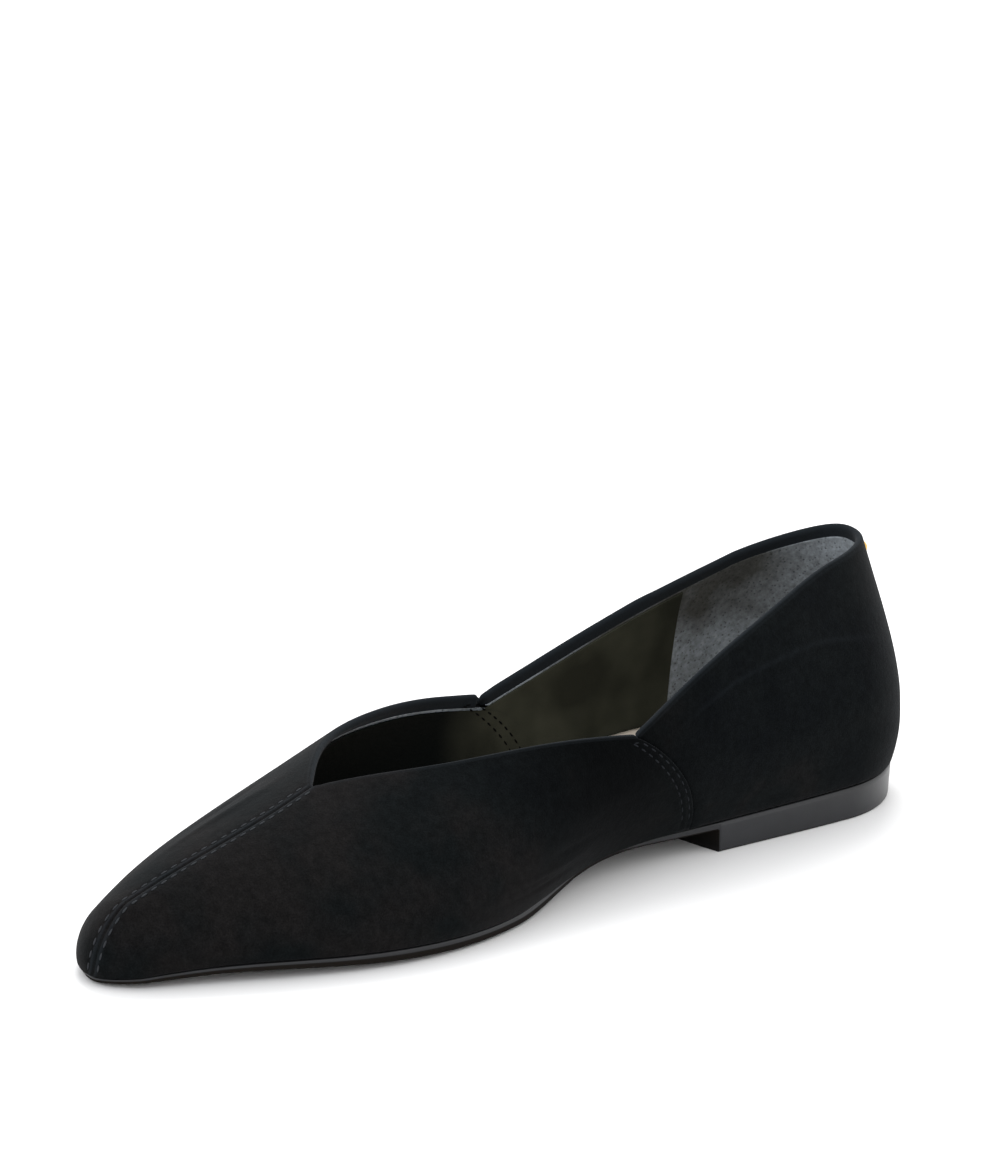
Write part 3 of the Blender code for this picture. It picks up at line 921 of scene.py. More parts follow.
@dataclass(frozen=True)
class Topline:
    """The rim of the opening: the suede rolls over the wall's edge and folds down inside."""

    side: Side
    quarter: bool
    corner: float = 5.0
    reach: float = 0.4

    def directions(self, along: np.ndarray) -> tuple[np.ndarray, np.ndarray, np.ndarray]:
        """Return how the rim lies.

        Args:
            along: Places along the topline.

        Returns:
            The rim's share, its normal, and the direction over the rim towards the opening.
        """
        share = LAST.covered(self.side, along, self.quarter)
        start, end = along - self.reach, along + self.reach
        if not self.quarter:
            end = np.minimum(end, LAST.throat)
            start = np.minimum(start, end - self.reach)
        ahead = LAST.surface(self.side, np.abs(end), LAST.covered(self.side, end, self.quarter))
        behind = LAST.surface(self.side, np.abs(start), LAST.covered(self.side, start, self.quarter))
        behind[:, ACROSS] *= np.where(start < 0.0, -1.0, 1.0)
        tangent = unit(ahead - behind)
        normal = LAST.normal(self.side, along, share)
        over = unit(np.cross(normal, tangent) * -self.side.value)
        if not self.quarter:
            middle = smooth(1.0 - (LAST.throat - along) / self.corner)[:, None]
            upright = unit(normal * np.array([1.0, 0.0, 1.0]))
            normal = unit(normal * (1.0 - middle) + upright * middle)
            back = np.tile([-1.0, 0.0, 0.0], (len(along), 1))
            over = unit(over * (1.0 - middle) + back * middle)
        over = unit(over - normal * dot(over, normal))
        return share, normal, over

    def below(self, along: np.ndarray, distance: np.ndarray) -> tuple[np.ndarray, np.ndarray]:
        """Return the places on the last at a distance below the rim.

        Args:
            along: Places along the topline.
            distance: The distance of each below it.

        Returns:
            The places along the shoe and the shares of the sections.
        """
        share, _, over = self.directions(along)
        place, lowered = LAST.moved(self.side, along, share, -over * distance[:, None])
        if not self.quarter:
            on_middle = along >= LAST.throat - 1e-6
            lowered = np.where(on_middle, 1.0, lowered)
        return place, lowered


@dataclass(frozen=True)
class SuedeRelief:
    """Everything that stands proud of the last, or lies in it: seams, stitch rows, counter and creases."""

    lap_step: float = 0.35
    lap_reach: float = 7.0
    quarter_drop: float = 0.5
    seam_depth: float = 0.4
    seam_width: float = 0.42
    hollow_depth: float = 0.12
    hollow_width: float = 1.2
    seam_lean: float = 0.3
    back_seam_share: float = 0.6
    back_seam_top: float = 0.91
    row_depth: float = 0.13
    row_width: float = 0.4
    middle_rows: float = 1.6
    ridge_height: float = 0.55
    ridge_step: float = 0.42
    ridge_lip: float = 0.3
    ridge_run: float = 0.035
    lip_width: float = 0.018
    crease_gain: float = 1.3
    # How far painted highlight pales the nap on the counter's lip, at the rim, beside the middle seam and
    # along the vamp's cut edge, and where the rim's painted highlight starts.
    lip_highlight: float = 0.1
    rim_highlight: float = 0.1
    seam_highlight: float = 0.25
    cut_highlight: float = 0.08
    rim_from: float = 0.985
    rim_run: float = 0.01

    # station, share of the section: the counter's upper edge on the quarter
    COUNTER_EDGE = (
        (20.0, 0.575), (34.5, 0.616), (45.0, 0.633), (56.0, 0.63), (66.0, 0.615), (79.0, 0.582),
        (92.0, 0.516),
    )
    COUNTER_FROM, COUNTER_TO = 12.0, 100.0
    # soft creases and dents: side, station, share, length along, reach up, lean, height in millimetres
    CREASES = (
        (Side.IN, 147.0, 0.105, 13.0, 0.012, 0.0010, -0.30),
        (Side.IN, 152.0, 0.150, 12.0, 0.014, 0.0014, -0.22),
        (Side.IN, 141.0, 0.150, 10.0, 0.014, 0.0012, 0.22),
        (Side.IN, 136.0, 0.210, 12.0, 0.020, 0.0016, -0.16),
        (Side.IN, 160.0, 0.210, 14.0, 0.022, 0.0008, -0.14),
        (Side.IN, 128.0, 0.330, 20.0, 0.060, 0.0000, 0.22),
        (Side.IN, 172.0, 0.550, 26.0, 0.090, -0.0010, 0.30),
        (Side.IN, 60.0, 0.300, 24.0, 0.080, 0.0000, 0.25),
        (Side.IN, 30.0, 0.250, 14.0, 0.060, 0.0000, -0.25),
        (Side.IN, 205.0, 0.350, 24.0, 0.080, 0.0000, 0.25),
        (Side.OUT, 212.0, 0.800, 16.0, 0.028, -0.0012, 0.38),
        (Side.OUT, 206.0, 0.700, 14.0, 0.030, -0.0010, -0.30),
        (Side.OUT, 150.0, 0.140, 13.0, 0.014, 0.0008, -0.25),
        (Side.OUT, 143.0, 0.190, 14.0, 0.020, 0.0006, 0.22),
        (Side.OUT, 170.0, 0.450, 24.0, 0.080, 0.0000, 0.30),
        (Side.OUT, 70.0, 0.350, 24.0, 0.080, 0.0000, 0.25),
    )

    def seam_across(self, station: np.ndarray, share: np.ndarray) -> np.ndarray:
        """Return where the middle seam lies across the shoe; it stays upright down the tip of the toe."""
        shift = LAST.curve("top_shift")(np.clip(station, 0.0, LAST.length - LAST.toe_turn))
        return shift * share ** self.seam_lean

    def middle(self, share: np.ndarray, points: np.ndarray) -> np.ndarray:
        """Return the height over the middle seam of the vamp and the back seam of the quarter.

        Args:
            share: The points' shares of the sections.
            points: The points on the last.

        Returns:
            The heights, below zero in the grooves.
        """
        distance = np.abs(points[:, ACROSS] - self.seam_across(points[:, ALONG], share))
        front = points[:, ALONG] > LAST.throat - 4.0
        back = points[:, ALONG] < LAST.heel_turn / 2.0
        groove = -self.seam_depth * bell(distance, self.seam_width)
        groove -= self.hollow_depth * bell(distance, self.hollow_width)
        rows = -self.row_depth * bell(distance - self.middle_rows, self.row_width)
        back_groove = self.back_seam_share * groove * smooth((self.back_seam_top - share) / 0.02)
        return np.where(front, groove + rows, np.where(back, back_groove, 0.0))

    def above_counter(self, along: np.ndarray, share: np.ndarray) -> np.ndarray:
        """Return how far each place lies above the heel counter's upper edge, in shares."""
        edge = NaturalCurve([row[0] for row in self.COUNTER_EDGE], [row[1] for row in self.COUNTER_EDGE])
        return share - edge(np.clip(along, self.COUNTER_FROM, self.COUNTER_TO))

    def counter(self, along: np.ndarray, share: np.ndarray) -> np.ndarray:
        """Return the height of the heel counter, whose upper edge shows through the quarter.

        Args:
            along: Places along the shoe.
            share: Shares of the sections.

        Returns:
            The heights.
        """
        above = self.above_counter(along, share)
        fade = smooth((self.COUNTER_TO - along) / 22.0) * smooth((along - 20.0) / 16.0)
        under = smooth(-above / self.ridge_run + 0.5)
        lip = bell(above, self.lip_width)
        return fade * self.ridge_height * (self.ridge_step * under + self.ridge_lip * lip)

    def rub(
        self, quarter: bool, along: np.ndarray, share: np.ndarray, way: np.ndarray, distance: np.ndarray,
        points: np.ndarray,
    ) -> np.ndarray:
        """Return how far painted highlight pales the nap: on the counter's lip, the rim, the cut edges and
        beside the middle seam.

        Args:
            quarter: Whether this is the quarter, and not the vamp.
            along: The points' places along the shoe.
            share: Their shares of the sections.
            way: Their shares of the way up to the rim.
            distance: Their distances from the side seam.
            points: The points on the last.

        Returns:
            The shares of painted highlight.
        """
        # Painted highlights stand for light caught on the rim, the counter's lip, the vamp's cut edge and the
        # edges beside the middle seam.
        rim = self.rim_highlight * smooth((way - self.rim_from) / self.rim_run)
        if quarter:
            fade = smooth((98.0 - along) / 16.0) * smooth((along - 22.0) / 14.0)
            return self.lip_highlight * fade * bell(self.above_counter(along, share) - 0.006, 0.008) + rim
        beside = np.abs(np.abs(points[:, ACROSS] - self.seam_across(points[:, ALONG], share)) - 0.9)
        seam = np.where(points[:, ALONG] > LAST.throat, self.seam_highlight * bell(beside, 0.4), 0.0)
        return seam + self.cut_highlight * bell(distance, 0.5) + rim * (along < LAST.throat)

    def creases(self, side: Side, along: np.ndarray, share: np.ndarray) -> np.ndarray:
        """Return the height of the creases and dents.

        Args:
            side: The side of the shoe.
            along: Places along the shoe.
            share: Shares of the sections.

        Returns:
            The heights, below zero in the dents.
        """
        height = np.zeros(len(along))
        for crease_side, station, level, length, reach, lean, rise in self.CREASES:
            if crease_side is side:
                offset = along - station
                centre = level + lean * offset
                height += self.crease_gain * rise * bell(offset, length) * bell(share - centre, reach)
        return height


@dataclass(frozen=True)
class SeamLine:
    """The side seam, along which the vamp laps over the quarter."""

    side: Side

    def spacing(self, way: np.ndarray) -> np.ndarray:
        """Return how far apart columns one millimetre apart really lie, square to the seam.

        Args:
            way: Shares of the way up the seam.

        Returns:
            The distances.
        """
        notch = LAST.notch(self.side)
        ways = np.linspace(0.02, 0.98, 25)
        rim = float(LAST.covered(self.side, np.array([notch]), False)[0])

        def row(column: float, at: np.ndarray) -> np.ndarray:
            """Return the points of one column at these shares of the way up."""
            along = np.full(len(at), column)
            return LAST.surface(self.side, LAST.leaned(self.side, along, at), at * rim)

        tangent = unit(row(notch, ways + 0.01) - row(notch, ways - 0.01))
        apart = row(notch + 0.5, ways) - row(notch - 0.5, ways)
        apart -= tangent * dot(apart, tangent)
        return np.interp(way, ways, np.linalg.norm(apart, axis=1))

    def distance(self, column: np.ndarray, way: np.ndarray) -> np.ndarray:
        """Return each place's distance from the seam, towards the toe."""
        return (column - LAST.notch(self.side)) * self.spacing(np.clip(way, 0.0, 1.0))


@dataclass(frozen=True)
class Upper:
    """The suede upper: two vamp halves and the quarter, with their linings, heel grip and thread."""

    wall: float = 2.0
    lap: float = 4.5
    lap_edge: float = 0.45
    edge_drop: float = 0.95
    rim_pull: int = 8
    lining_pull: int = 6
    front_fade: float = 12.0
    cut_share: float = 0.25
    cut_run: float = 1.2
    tuck: float = 1.2
    tuck_run: float = 1.6
    # How far painted highlight pales the rolled rim and the fold inside it.
    rolled_rim_highlight: float = 0.35
    grip_front: float = 46.5
    grip_bow: float = -2.0
    grip_below: float = 3.15
    grip_depth: float = 0.1
    lining_below: float = 3.75
    quarter_lining_depth: float = 0.55
    vamp_lining_depth: float = 0.75
    lining_foot: float = 0.03
    facing_foot: float = 0.6
    lining_end: float = 6.0
    outside_rows_in: tuple[float, float] = (1.4, 3.5)
    outside_rows_out: tuple[float, float] = (3.2, 6.0)
    row_foot: float = 0.1
    row_head: float = 0.93
    middle_pitch: float = 3.15
    thread: float = 0.24
    middle_thread: float = 0.27

    def stitch_offsets(self, side: Side) -> tuple[float, float]:
        """Return how far the two stitch rows run from the vamp's edge."""
        return self.outside_rows_in if side is Side.IN else self.outside_rows_out

    def outside(
        self, side: Side, quarter: bool, column: np.ndarray, way: np.ndarray
    ) -> tuple[np.ndarray, np.ndarray]:
        """Return the places on the last of the outside's points, fitted to the rim.

        Args:
            side: The side of the shoe.
            quarter: Whether this is the quarter, and not the vamp.
            column: The column of each point, as its place at the topline.
            way: The share of the way up to the rim.

        Returns:
            The places along the shoe and the shares of the sections.
        """
        covered = LAST.covered(side, column, quarter)
        along = LAST.leaned(side, column, way)
        share = way * covered
        topline = Topline(side, quarter)
        before = np.minimum(column, LAST.throat)
        place, lowered = topline.below(before, np.full(len(column), self.wall / 2.0))
        fade = np.where(column > LAST.throat, 1.0 - smooth((column - LAST.throat) / self.front_fade), 1.0)
        bias = way ** self.rim_pull
        along = along + (place - before) * bias * fade
        share = share + (lowered - LAST.covered(side, before, quarter)) * bias
        return np.clip(along, 0.0, LAST.length), np.clip(share, 0.0, 1.0)

    def height(
        self, side: Side, quarter: bool, column: np.ndarray, way: np.ndarray, along: np.ndarray,
        share: np.ndarray, points: np.ndarray,
    ) -> np.ndarray:
        """Return how far each outside point stands proud of the last.

        Args:
            side: The side of the shoe.
            quarter: Whether this is the quarter, and not the vamp.
            column: The points' columns.
            way: Their shares of the way up to the rim.
            along: Their places along the shoe.
            share: Their shares of the sections.
            points: The points on the last.

        Returns:
            The heights.
        """
        form = SuedeRelief()
        distance = SeamLine(side).distance(column, way)
        rise = form.middle(share, points) + form.creases(side, along, share)
        if quarter:
            rise += form.counter(along, share)
            rise -= form.lap_step * smooth((distance + 4.0) / 4.0)
            return rise - form.quarter_drop * smooth((distance + 0.4) / 0.8)
        rise += form.lap_step * (1.0 - smooth(distance / form.lap_reach))
        for offset in self.stitch_offsets(side):
            rise -= form.row_depth * bell(distance - offset, 0.45) * smooth((0.95 - way) / 0.02)
        edge = np.clip(1.0 - distance / self.lap_edge, 0.0, 1.0)
        return rise - self.edge_drop * (1.0 - np.sqrt(np.maximum(1.0 - edge ** 2, 0.0)))

    def shell(
        self, side: Side, quarter: bool, columns: np.ndarray, rim: bool,
        thickness: Callable[[np.ndarray], np.ndarray],
    ) -> bmesh.types.BMesh:
        """Lay one grid of the suede over the last.

        Args:
            side: The side of the shoe.
            quarter: Whether this is the quarter, and not the vamp.
            columns: The columns' places at the topline.
            rim: Whether the grid goes on over the rim and down inside.
            thickness: The rolled rim's thickness at each column.

        Returns:
            The mesh.
        """
        plan = [(Part.MARGIN, v) for v in MARGIN_ROWS] + [(Part.OUTSIDE, v) for v in OUTSIDE_ROWS]
        if rim:
            plan += [(Part.RIM, v) for v in RIM_ROWS] + [(Part.FOLD, v) for v in FOLD_ROWS]
        bm, i, j = grid(len(columns), len(plan))
        column = columns[i]
        points = np.zeros((len(column), 3))
        rub = np.zeros(len(column))
        for row, (part, value) in enumerate(plan):
            at = j == row
            here = column[at]
            fill = np.full(len(here), value)
            if part is Part.MARGIN:
                low = LAST.inset(side, LAST.leaned(side, here, np.zeros(len(here))), fill)
                low[:, UP] -= 0.05
                points[at] = low
            elif part is Part.OUTSIDE:
                along, share = self.outside(side, quarter, here, fill)
                flat = LAST.surface(side, along, share)
                normal = LAST.normal(side, along, share)
                centre = (here >= LAST.throat) & (value == 1.0) | (here >= LAST.length) | (here <= 0.0)
                upright = unit(normal * np.array([1.0, 0.0, 1.0]))
                normal = np.where(centre[:, None], upright, normal)
                rise = self.height(side, quarter, here, fill, along, share, flat)
                rise *= smooth(fill / 0.03)
                points[at] = flat + normal * rise[:, None]
                distance = SeamLine(side).distance(here, fill)
                # Painted highlight on the counter's lip, the cut edge, the rim and beside the middle seam.
                rub[at] = SuedeRelief().rub(quarter, along, share, fill, distance, flat)
            else:
                points[at] = self.rolled(side, quarter, here, part, value, thickness(here))
                # Painted highlight on the rolled rim and down the fold inside it.
                rub[at] = self.rolled_rim_highlight * (smooth(fill) if part is Part.RIM else 1.0)
        lay(bm, points, side is Side.IN)
        layer = bm.verts.layers.float.new(HIGHLIGHT)
        for vert, amount in zip(bm.verts, rub):
            vert[layer] = amount
        return bm

    def rolled(
        self, side: Side, quarter: bool, column: np.ndarray, part: Part, value: float, thick: np.ndarray
    ) -> np.ndarray:
        """Return a row of the rolled rim or of the fold inside it.

        Args:
            side: The side of the shoe.
            quarter: Whether this is the quarter, and not the vamp.
            column: The columns' places at the topline.
            part: The rim or the fold.
            value: The angle round the rim, or the distance down the fold in millimetres.
            thick: The rim's thickness at each column.

        Returns:
            The points.
        """
        topline = Topline(side, quarter)
        _, normal, over = topline.directions(column)
        half = self.wall / 2.0
        one = np.ones(len(column))
        along, lowered = self.outside(side, quarter, column, one)
        start = LAST.surface(side, along, lowered)
        rise = self.height(side, quarter, column, one, along, lowered, start)
        start = start + normal * rise[:, None]
        centre = start - normal * (thick / 2.0)[:, None]
        turn = math.pi if part is Part.FOLD else value
        radius = (thick / 2.0)[:, None]
        point = centre + normal * radius * math.cos(turn) + over * np.minimum(radius, half) * math.sin(turn)
        if part is Part.FOLD:
            inner_along, inner_share = topline.below(column, one * (half + value))
            inner = LAST.surface(side, inner_along, inner_share)
            inner = inner - LAST.normal(side, inner_along, inner_share) * thick[:, None]
            mix = np.full((len(column), 1), min(value, 1.0))
            if not quarter:
                mix = mix * smooth((LAST.throat - column) / 4.0)[:, None]
            point = (point - over * value) * (1.0 - mix) + inner * mix
        if not quarter:
            on_middle = column >= LAST.throat - 1e-6
            shift = LAST.curve("top_shift")(np.full(len(column), LAST.throat))
            point[:, ACROSS] = np.where(on_middle, shift, point[:, ACROSS])
        else:
            point[:, ACROSS] = np.where(column <= 0.0, 0.0, point[:, ACROSS])
        return point

    def vamp_columns(self, side: Side) -> np.ndarray:
        """Return the vamp's columns, from its edge over the quarter to the throat.

        Args:
            side: The side of the shoe.

        Returns:
            Their places at the topline.
        """
        notch = LAST.notch(side)
        edge = notch + self.lap_edge * 1.3
        return spans((notch, 8), (edge, 24), (notch + 10.0, 44), (LAST.throat - 6.0, 14), (LAST.throat, 0))

    def build_vamp(self, suede: bpy.types.Material) -> None:
        """Build the two halves of the vamp, which meet in the middle seam.

        Args:
            suede: Their material.
        """
        for side in Side:
            notch = LAST.notch(side)

            def thickness(column: np.ndarray) -> np.ndarray:
                """Return the rim's thickness, which thins out to the vamp's cut edge."""
                fullness = smooth((column - notch) / self.cut_run)
                return self.wall * (self.cut_share + (1.0 - self.cut_share) * fullness)

            back = self.shell(side, False, self.vamp_columns(side), True, thickness)
            toe = LAST.length - LAST.toe_turn
            front_columns = spans((LAST.throat, 60), (toe, 26), (LAST.length - 0.6, 4), (LAST.length, 0))
            front = self.shell(side, False, front_columns, False, thickness)
            name = "vamp_inner_half" if side is Side.IN else "vamp_outer_half"
            nodes = ("upper",) if side is Side.IN else ()
            piece(name, joined([back, front]), suede, nodes)

    def build_quarter(self, suede: bpy.types.Material) -> None:
        """Build the quarter, which runs round the heel and under the vamp's edge on both sides.

        Args:
            suede: Its material.
        """
        halves = []
        for side in Side:
            notch = LAST.notch(side)

            def thickness(column: np.ndarray) -> np.ndarray:
                """Return the rim's thickness, which thins out where the vamp lies over it."""
                return self.wall - self.tuck * smooth((column - notch + self.cut_run) / self.tuck_run)

            columns = spans(
                (0.0, 4), (0.6, 26), (LAST.heel_turn, 44), (notch - 5.0, 16), (notch + self.lap, 0),
            )
            halves.append(self.shell(side, True, columns, True, thickness))
        piece("quarter", joined(halves), suede)

    def inner_sheet(
        self, side: Side, quarter: bool, columns: np.ndarray, top: float, depth: float, foot: float
    ) -> bmesh.types.BMesh:
        """Lay a lining over the inside of the wall, with its upper edge turned to the wall.

        Args:
            side: The side of the shoe.
            quarter: Whether it lines the quarter, and not the vamp.
            columns: The columns' places at the topline.
            top: The distance of its upper edge below the rim.
            depth: How deep its surface lies under the outside.
            foot: The share of the way up at which it starts.

        Returns:
            The mesh.
        """
        ways = np.concatenate([np.linspace(foot, 0.9, 30), [0.93, 0.96, 0.98, 0.99, 1.0]])
        # The last two rows turn the upper edge out towards the wall, as a cut edge of leather that is glued.
        plan = [(way, depth) for way in ways] + [(1.0, depth - 0.12), (1.0, depth - 0.45)]
        bm, i, j = grid(len(columns), len(plan))
        column = columns[i]
        points = np.zeros((len(column), 3))
        for row, (way, level) in enumerate(plan):
            at = j == row
            here = column[at]
            fill = np.full(len(here), way)
            bow = self.grip_bow * 4.0 * fill * (1.0 - fill)
            along = LAST.leaned(side, here, fill) + np.where(here < self.grip_front + 3.5, bow, 0.0)
            share = fill * LAST.covered(side, here, quarter)
            before = np.minimum(here, LAST.throat)
            lowered_by = top + (0.06 if row == len(ways) else 0.0)
            place, lowered = Topline(side, quarter).below(before, np.full(len(here), lowered_by))
            bias = way ** self.lining_pull
            along = np.clip(along + (place - before) * bias * (here <= LAST.throat), 0.0, LAST.length - 0.2)
            share = share + (lowered - LAST.covered(side, before, quarter)) * bias
            normal = LAST.normal(side, along, share)
            points[at] = LAST.surface(side, along, share) - normal * level
        lay(bm, points, side is Side.OUT)
        return bm

    def build_linings(self, lining: bpy.types.Material, grip: bpy.types.Material) -> None:
        """Build the grip layer, which edges the whole topline, and the dark linings over it.

        Args:
            lining: The linings' material.
            grip: The grip's material.
        """
        grips, quarters, vamps = [], [], []
        foot, grip_depth = self.lining_foot, self.wall + self.grip_depth
        quarter_depth = self.wall + self.quarter_lining_depth
        vamp_depth = self.wall + self.vamp_lining_depth
        for side in Side:
            notch = LAST.notch(side)
            around = spans((0.0, 20), (LAST.heel_turn, 40), (notch - 0.5, 0))
            grips.append(self.inner_sheet(side, True, around, self.grip_below, grip_depth, foot))
            vamp_edge = spans((notch - 1.0, 30), (LAST.throat - 2.0, 0))
            facing = self.inner_sheet(side, False, vamp_edge, self.grip_below, grip_depth, self.facing_foot)
            grips.append(facing)
            quarter = spans((self.grip_front, 40), (notch + 1.0, 0))
            quarters.append(self.inner_sheet(side, True, quarter, self.lining_below, quarter_depth, foot))
            vamp = spans(
                (notch - 0.5, 30), (LAST.throat - 4.0, 8), (LAST.throat, 24),
                (LAST.length - self.lining_end, 0),
            )
            vamps.append(self.inner_sheet(side, False, vamp, self.lining_below, vamp_depth, foot))
        piece("heel_grip", joined(grips), grip)
        piece("quarter_lining", joined(quarters), lining)
        piece("vamp_lining", joined(vamps), lining)

    def stitched(
        self, name: str, path: np.ndarray, normals: np.ndarray, pitch: float, length: float, radius: float
    ) -> bmesh.types.BMesh:
        """Set stitches along a path.

        Args:
            name: What the row is called in the log.
            path: The path's points, in millimetres on the last.
            normals: The surface's normals there.
            pitch: The distance from one stitch to the next.
            length: A stitch's length.
            radius: The thread's radius.

        Returns:
            The mesh.
        """
        steps = np.linalg.norm(np.diff(path, axis=0), axis=1)
        run = np.concatenate([[0.0], np.cumsum(steps)])
        count = max(int(run[-1] / pitch), 1)
        bm = bmesh.new()
        for k in range(count):
            at = (k + 0.5) * run[-1] / count
            centre, ahead, behind, up = (
                np.array([np.interp(place, run, source[:, axis]) for axis in range(3)])
                for place, source in ((at, path), (at + 0.4, path), (at - 0.4, path), (at, normals))
            )
            world = LAST.placed(np.array([centre, ahead, behind, centre + up]))
            place, front, rear, above = (Vector(p) for p in world)
            x_axis = (front - rear).normalized()
            z_axis = (above - place).normalized()
            y_axis = z_axis.cross(x_axis).normalized()
            z_axis = x_axis.cross(y_axis)
            turn = Matrix((x_axis, y_axis, z_axis)).transposed().to_4x4()
            sizes = Matrix.Diagonal((length / 2.0 * MM, radius * MM, radius * 0.8 * MM, 1.0))
            bmesh.ops.create_uvsphere(
                bm, u_segments=8, v_segments=6, radius=1.0, matrix=Matrix.Translation(place) @ turn @ sizes
            )
        LOG.info("%s: %d stitches", name, count)
        return bm

    def seam_row(
        self, side: Side, offset: float, foot: float, head: float, depth: float
    ) -> tuple[np.ndarray, np.ndarray]:
        """Return the path of a stitch row beside the side seam.

        Args:
            side: The side of the shoe.
            offset: The row's distance from the seam.
            foot: The share of the way up at which it starts.
            head: The share at which it ends.
            depth: How deep it lies under the outside, or 0 for a row on the outside.

        Returns:
            The path's points and the normals there.
        """
        ways = np.linspace(foot, head, 60)
        column = LAST.notch(side) + offset / SeamLine(side).spacing(ways)
        along, share = self.outside(side, False, column, ways)
        points = LAST.surface(side, along, share)
        normals = LAST.normal(side, along, share)
        rise = self.height(side, False, column, ways, along, share, points) if depth == 0.0 else -depth
        points = points + normals * (np.zeros(len(ways)) + rise)[:, None]
        return points, normals if depth == 0.0 else -normals

    def middle_row(self, side: Side) -> tuple[np.ndarray, np.ndarray]:
        """Return the path of the stitch row beside the middle seam, from throat to toe.

        Args:
            side: The side of the seam.

        Returns:
            The path's points and the normals there.
        """
        form = SuedeRelief()
        crest = np.linspace(LAST.throat + 1.5, LAST.length - LAST.toe_turn, 60)
        front = np.linspace(0.93, 0.06, 30)
        along = np.concatenate([crest, np.full(len(front), LAST.length - 0.01)])
        share = np.concatenate([np.full(len(crest), 1.0), front])
        middle = LAST.surface(Side.IN, along, share)
        shift = form.seam_across(middle[:, ALONG], share) - middle[:, ACROSS] + side.value * form.middle_rows
        points, normals = np.zeros((len(along), 3)), np.zeros((len(along), 3))
        for half in Side:
            mine = shift * half.value > 0.0
            move = np.stack([np.zeros(mine.sum()), shift[mine], np.zeros(mine.sum())], axis=-1)
            moved_along, moved_share = LAST.moved(half, along[mine], share[mine], move)
            points[mine] = LAST.surface(half, moved_along, moved_share)
            normals[mine] = LAST.normal(half, moved_along, moved_share)
        return points, normals

    def build_thread(
        self, charcoal: bpy.types.Material, grey: bpy.types.Material, dark: bpy.types.Material
    ) -> None:
        """Sew the seams: two rows beside the middle seam and beside each side seam, closed at the top.

        Args:
            charcoal: The thread beside the middle seam.
            grey: The thread of the side seams, outside.
            dark: The thread of the side seams, inside.
        """
        middle, outside, inside = [], [], []
        for side in Side:
            points, normals = self.middle_row(side)
            middle.append(
                self.stitched("middle seam", points, normals, self.middle_pitch, 2.1, self.middle_thread)
            )
            for depth, rows in ((0.0, outside), (self.wall + self.vamp_lining_depth, inside)):
                pitch, length = (2.5, 1.7) if depth else (2.9, 1.9)
                ends = []
                for offset in self.stitch_offsets(side):
                    points, normals = self.seam_row(side, offset, self.row_foot, self.row_head, depth)
                    rows.append(self.stitched("side seam", points, normals, pitch, length, self.thread))
                    ends.append((points[-1], normals[-1]))
                across = np.array([ends[0][0], (ends[0][0] + ends[1][0]) / 2.0, ends[1][0]])
                ups = np.array([ends[0][1], ends[0][1], ends[1][1]])
                rows.append(self.stitched("seam end", across, ups, 2.4, 1.7, self.thread))
        piece("middle_stitches", joined(middle), charcoal)
        piece("side_stitches", joined(outside), grey)
        piece("inside_stitches", joined(inside), dark)


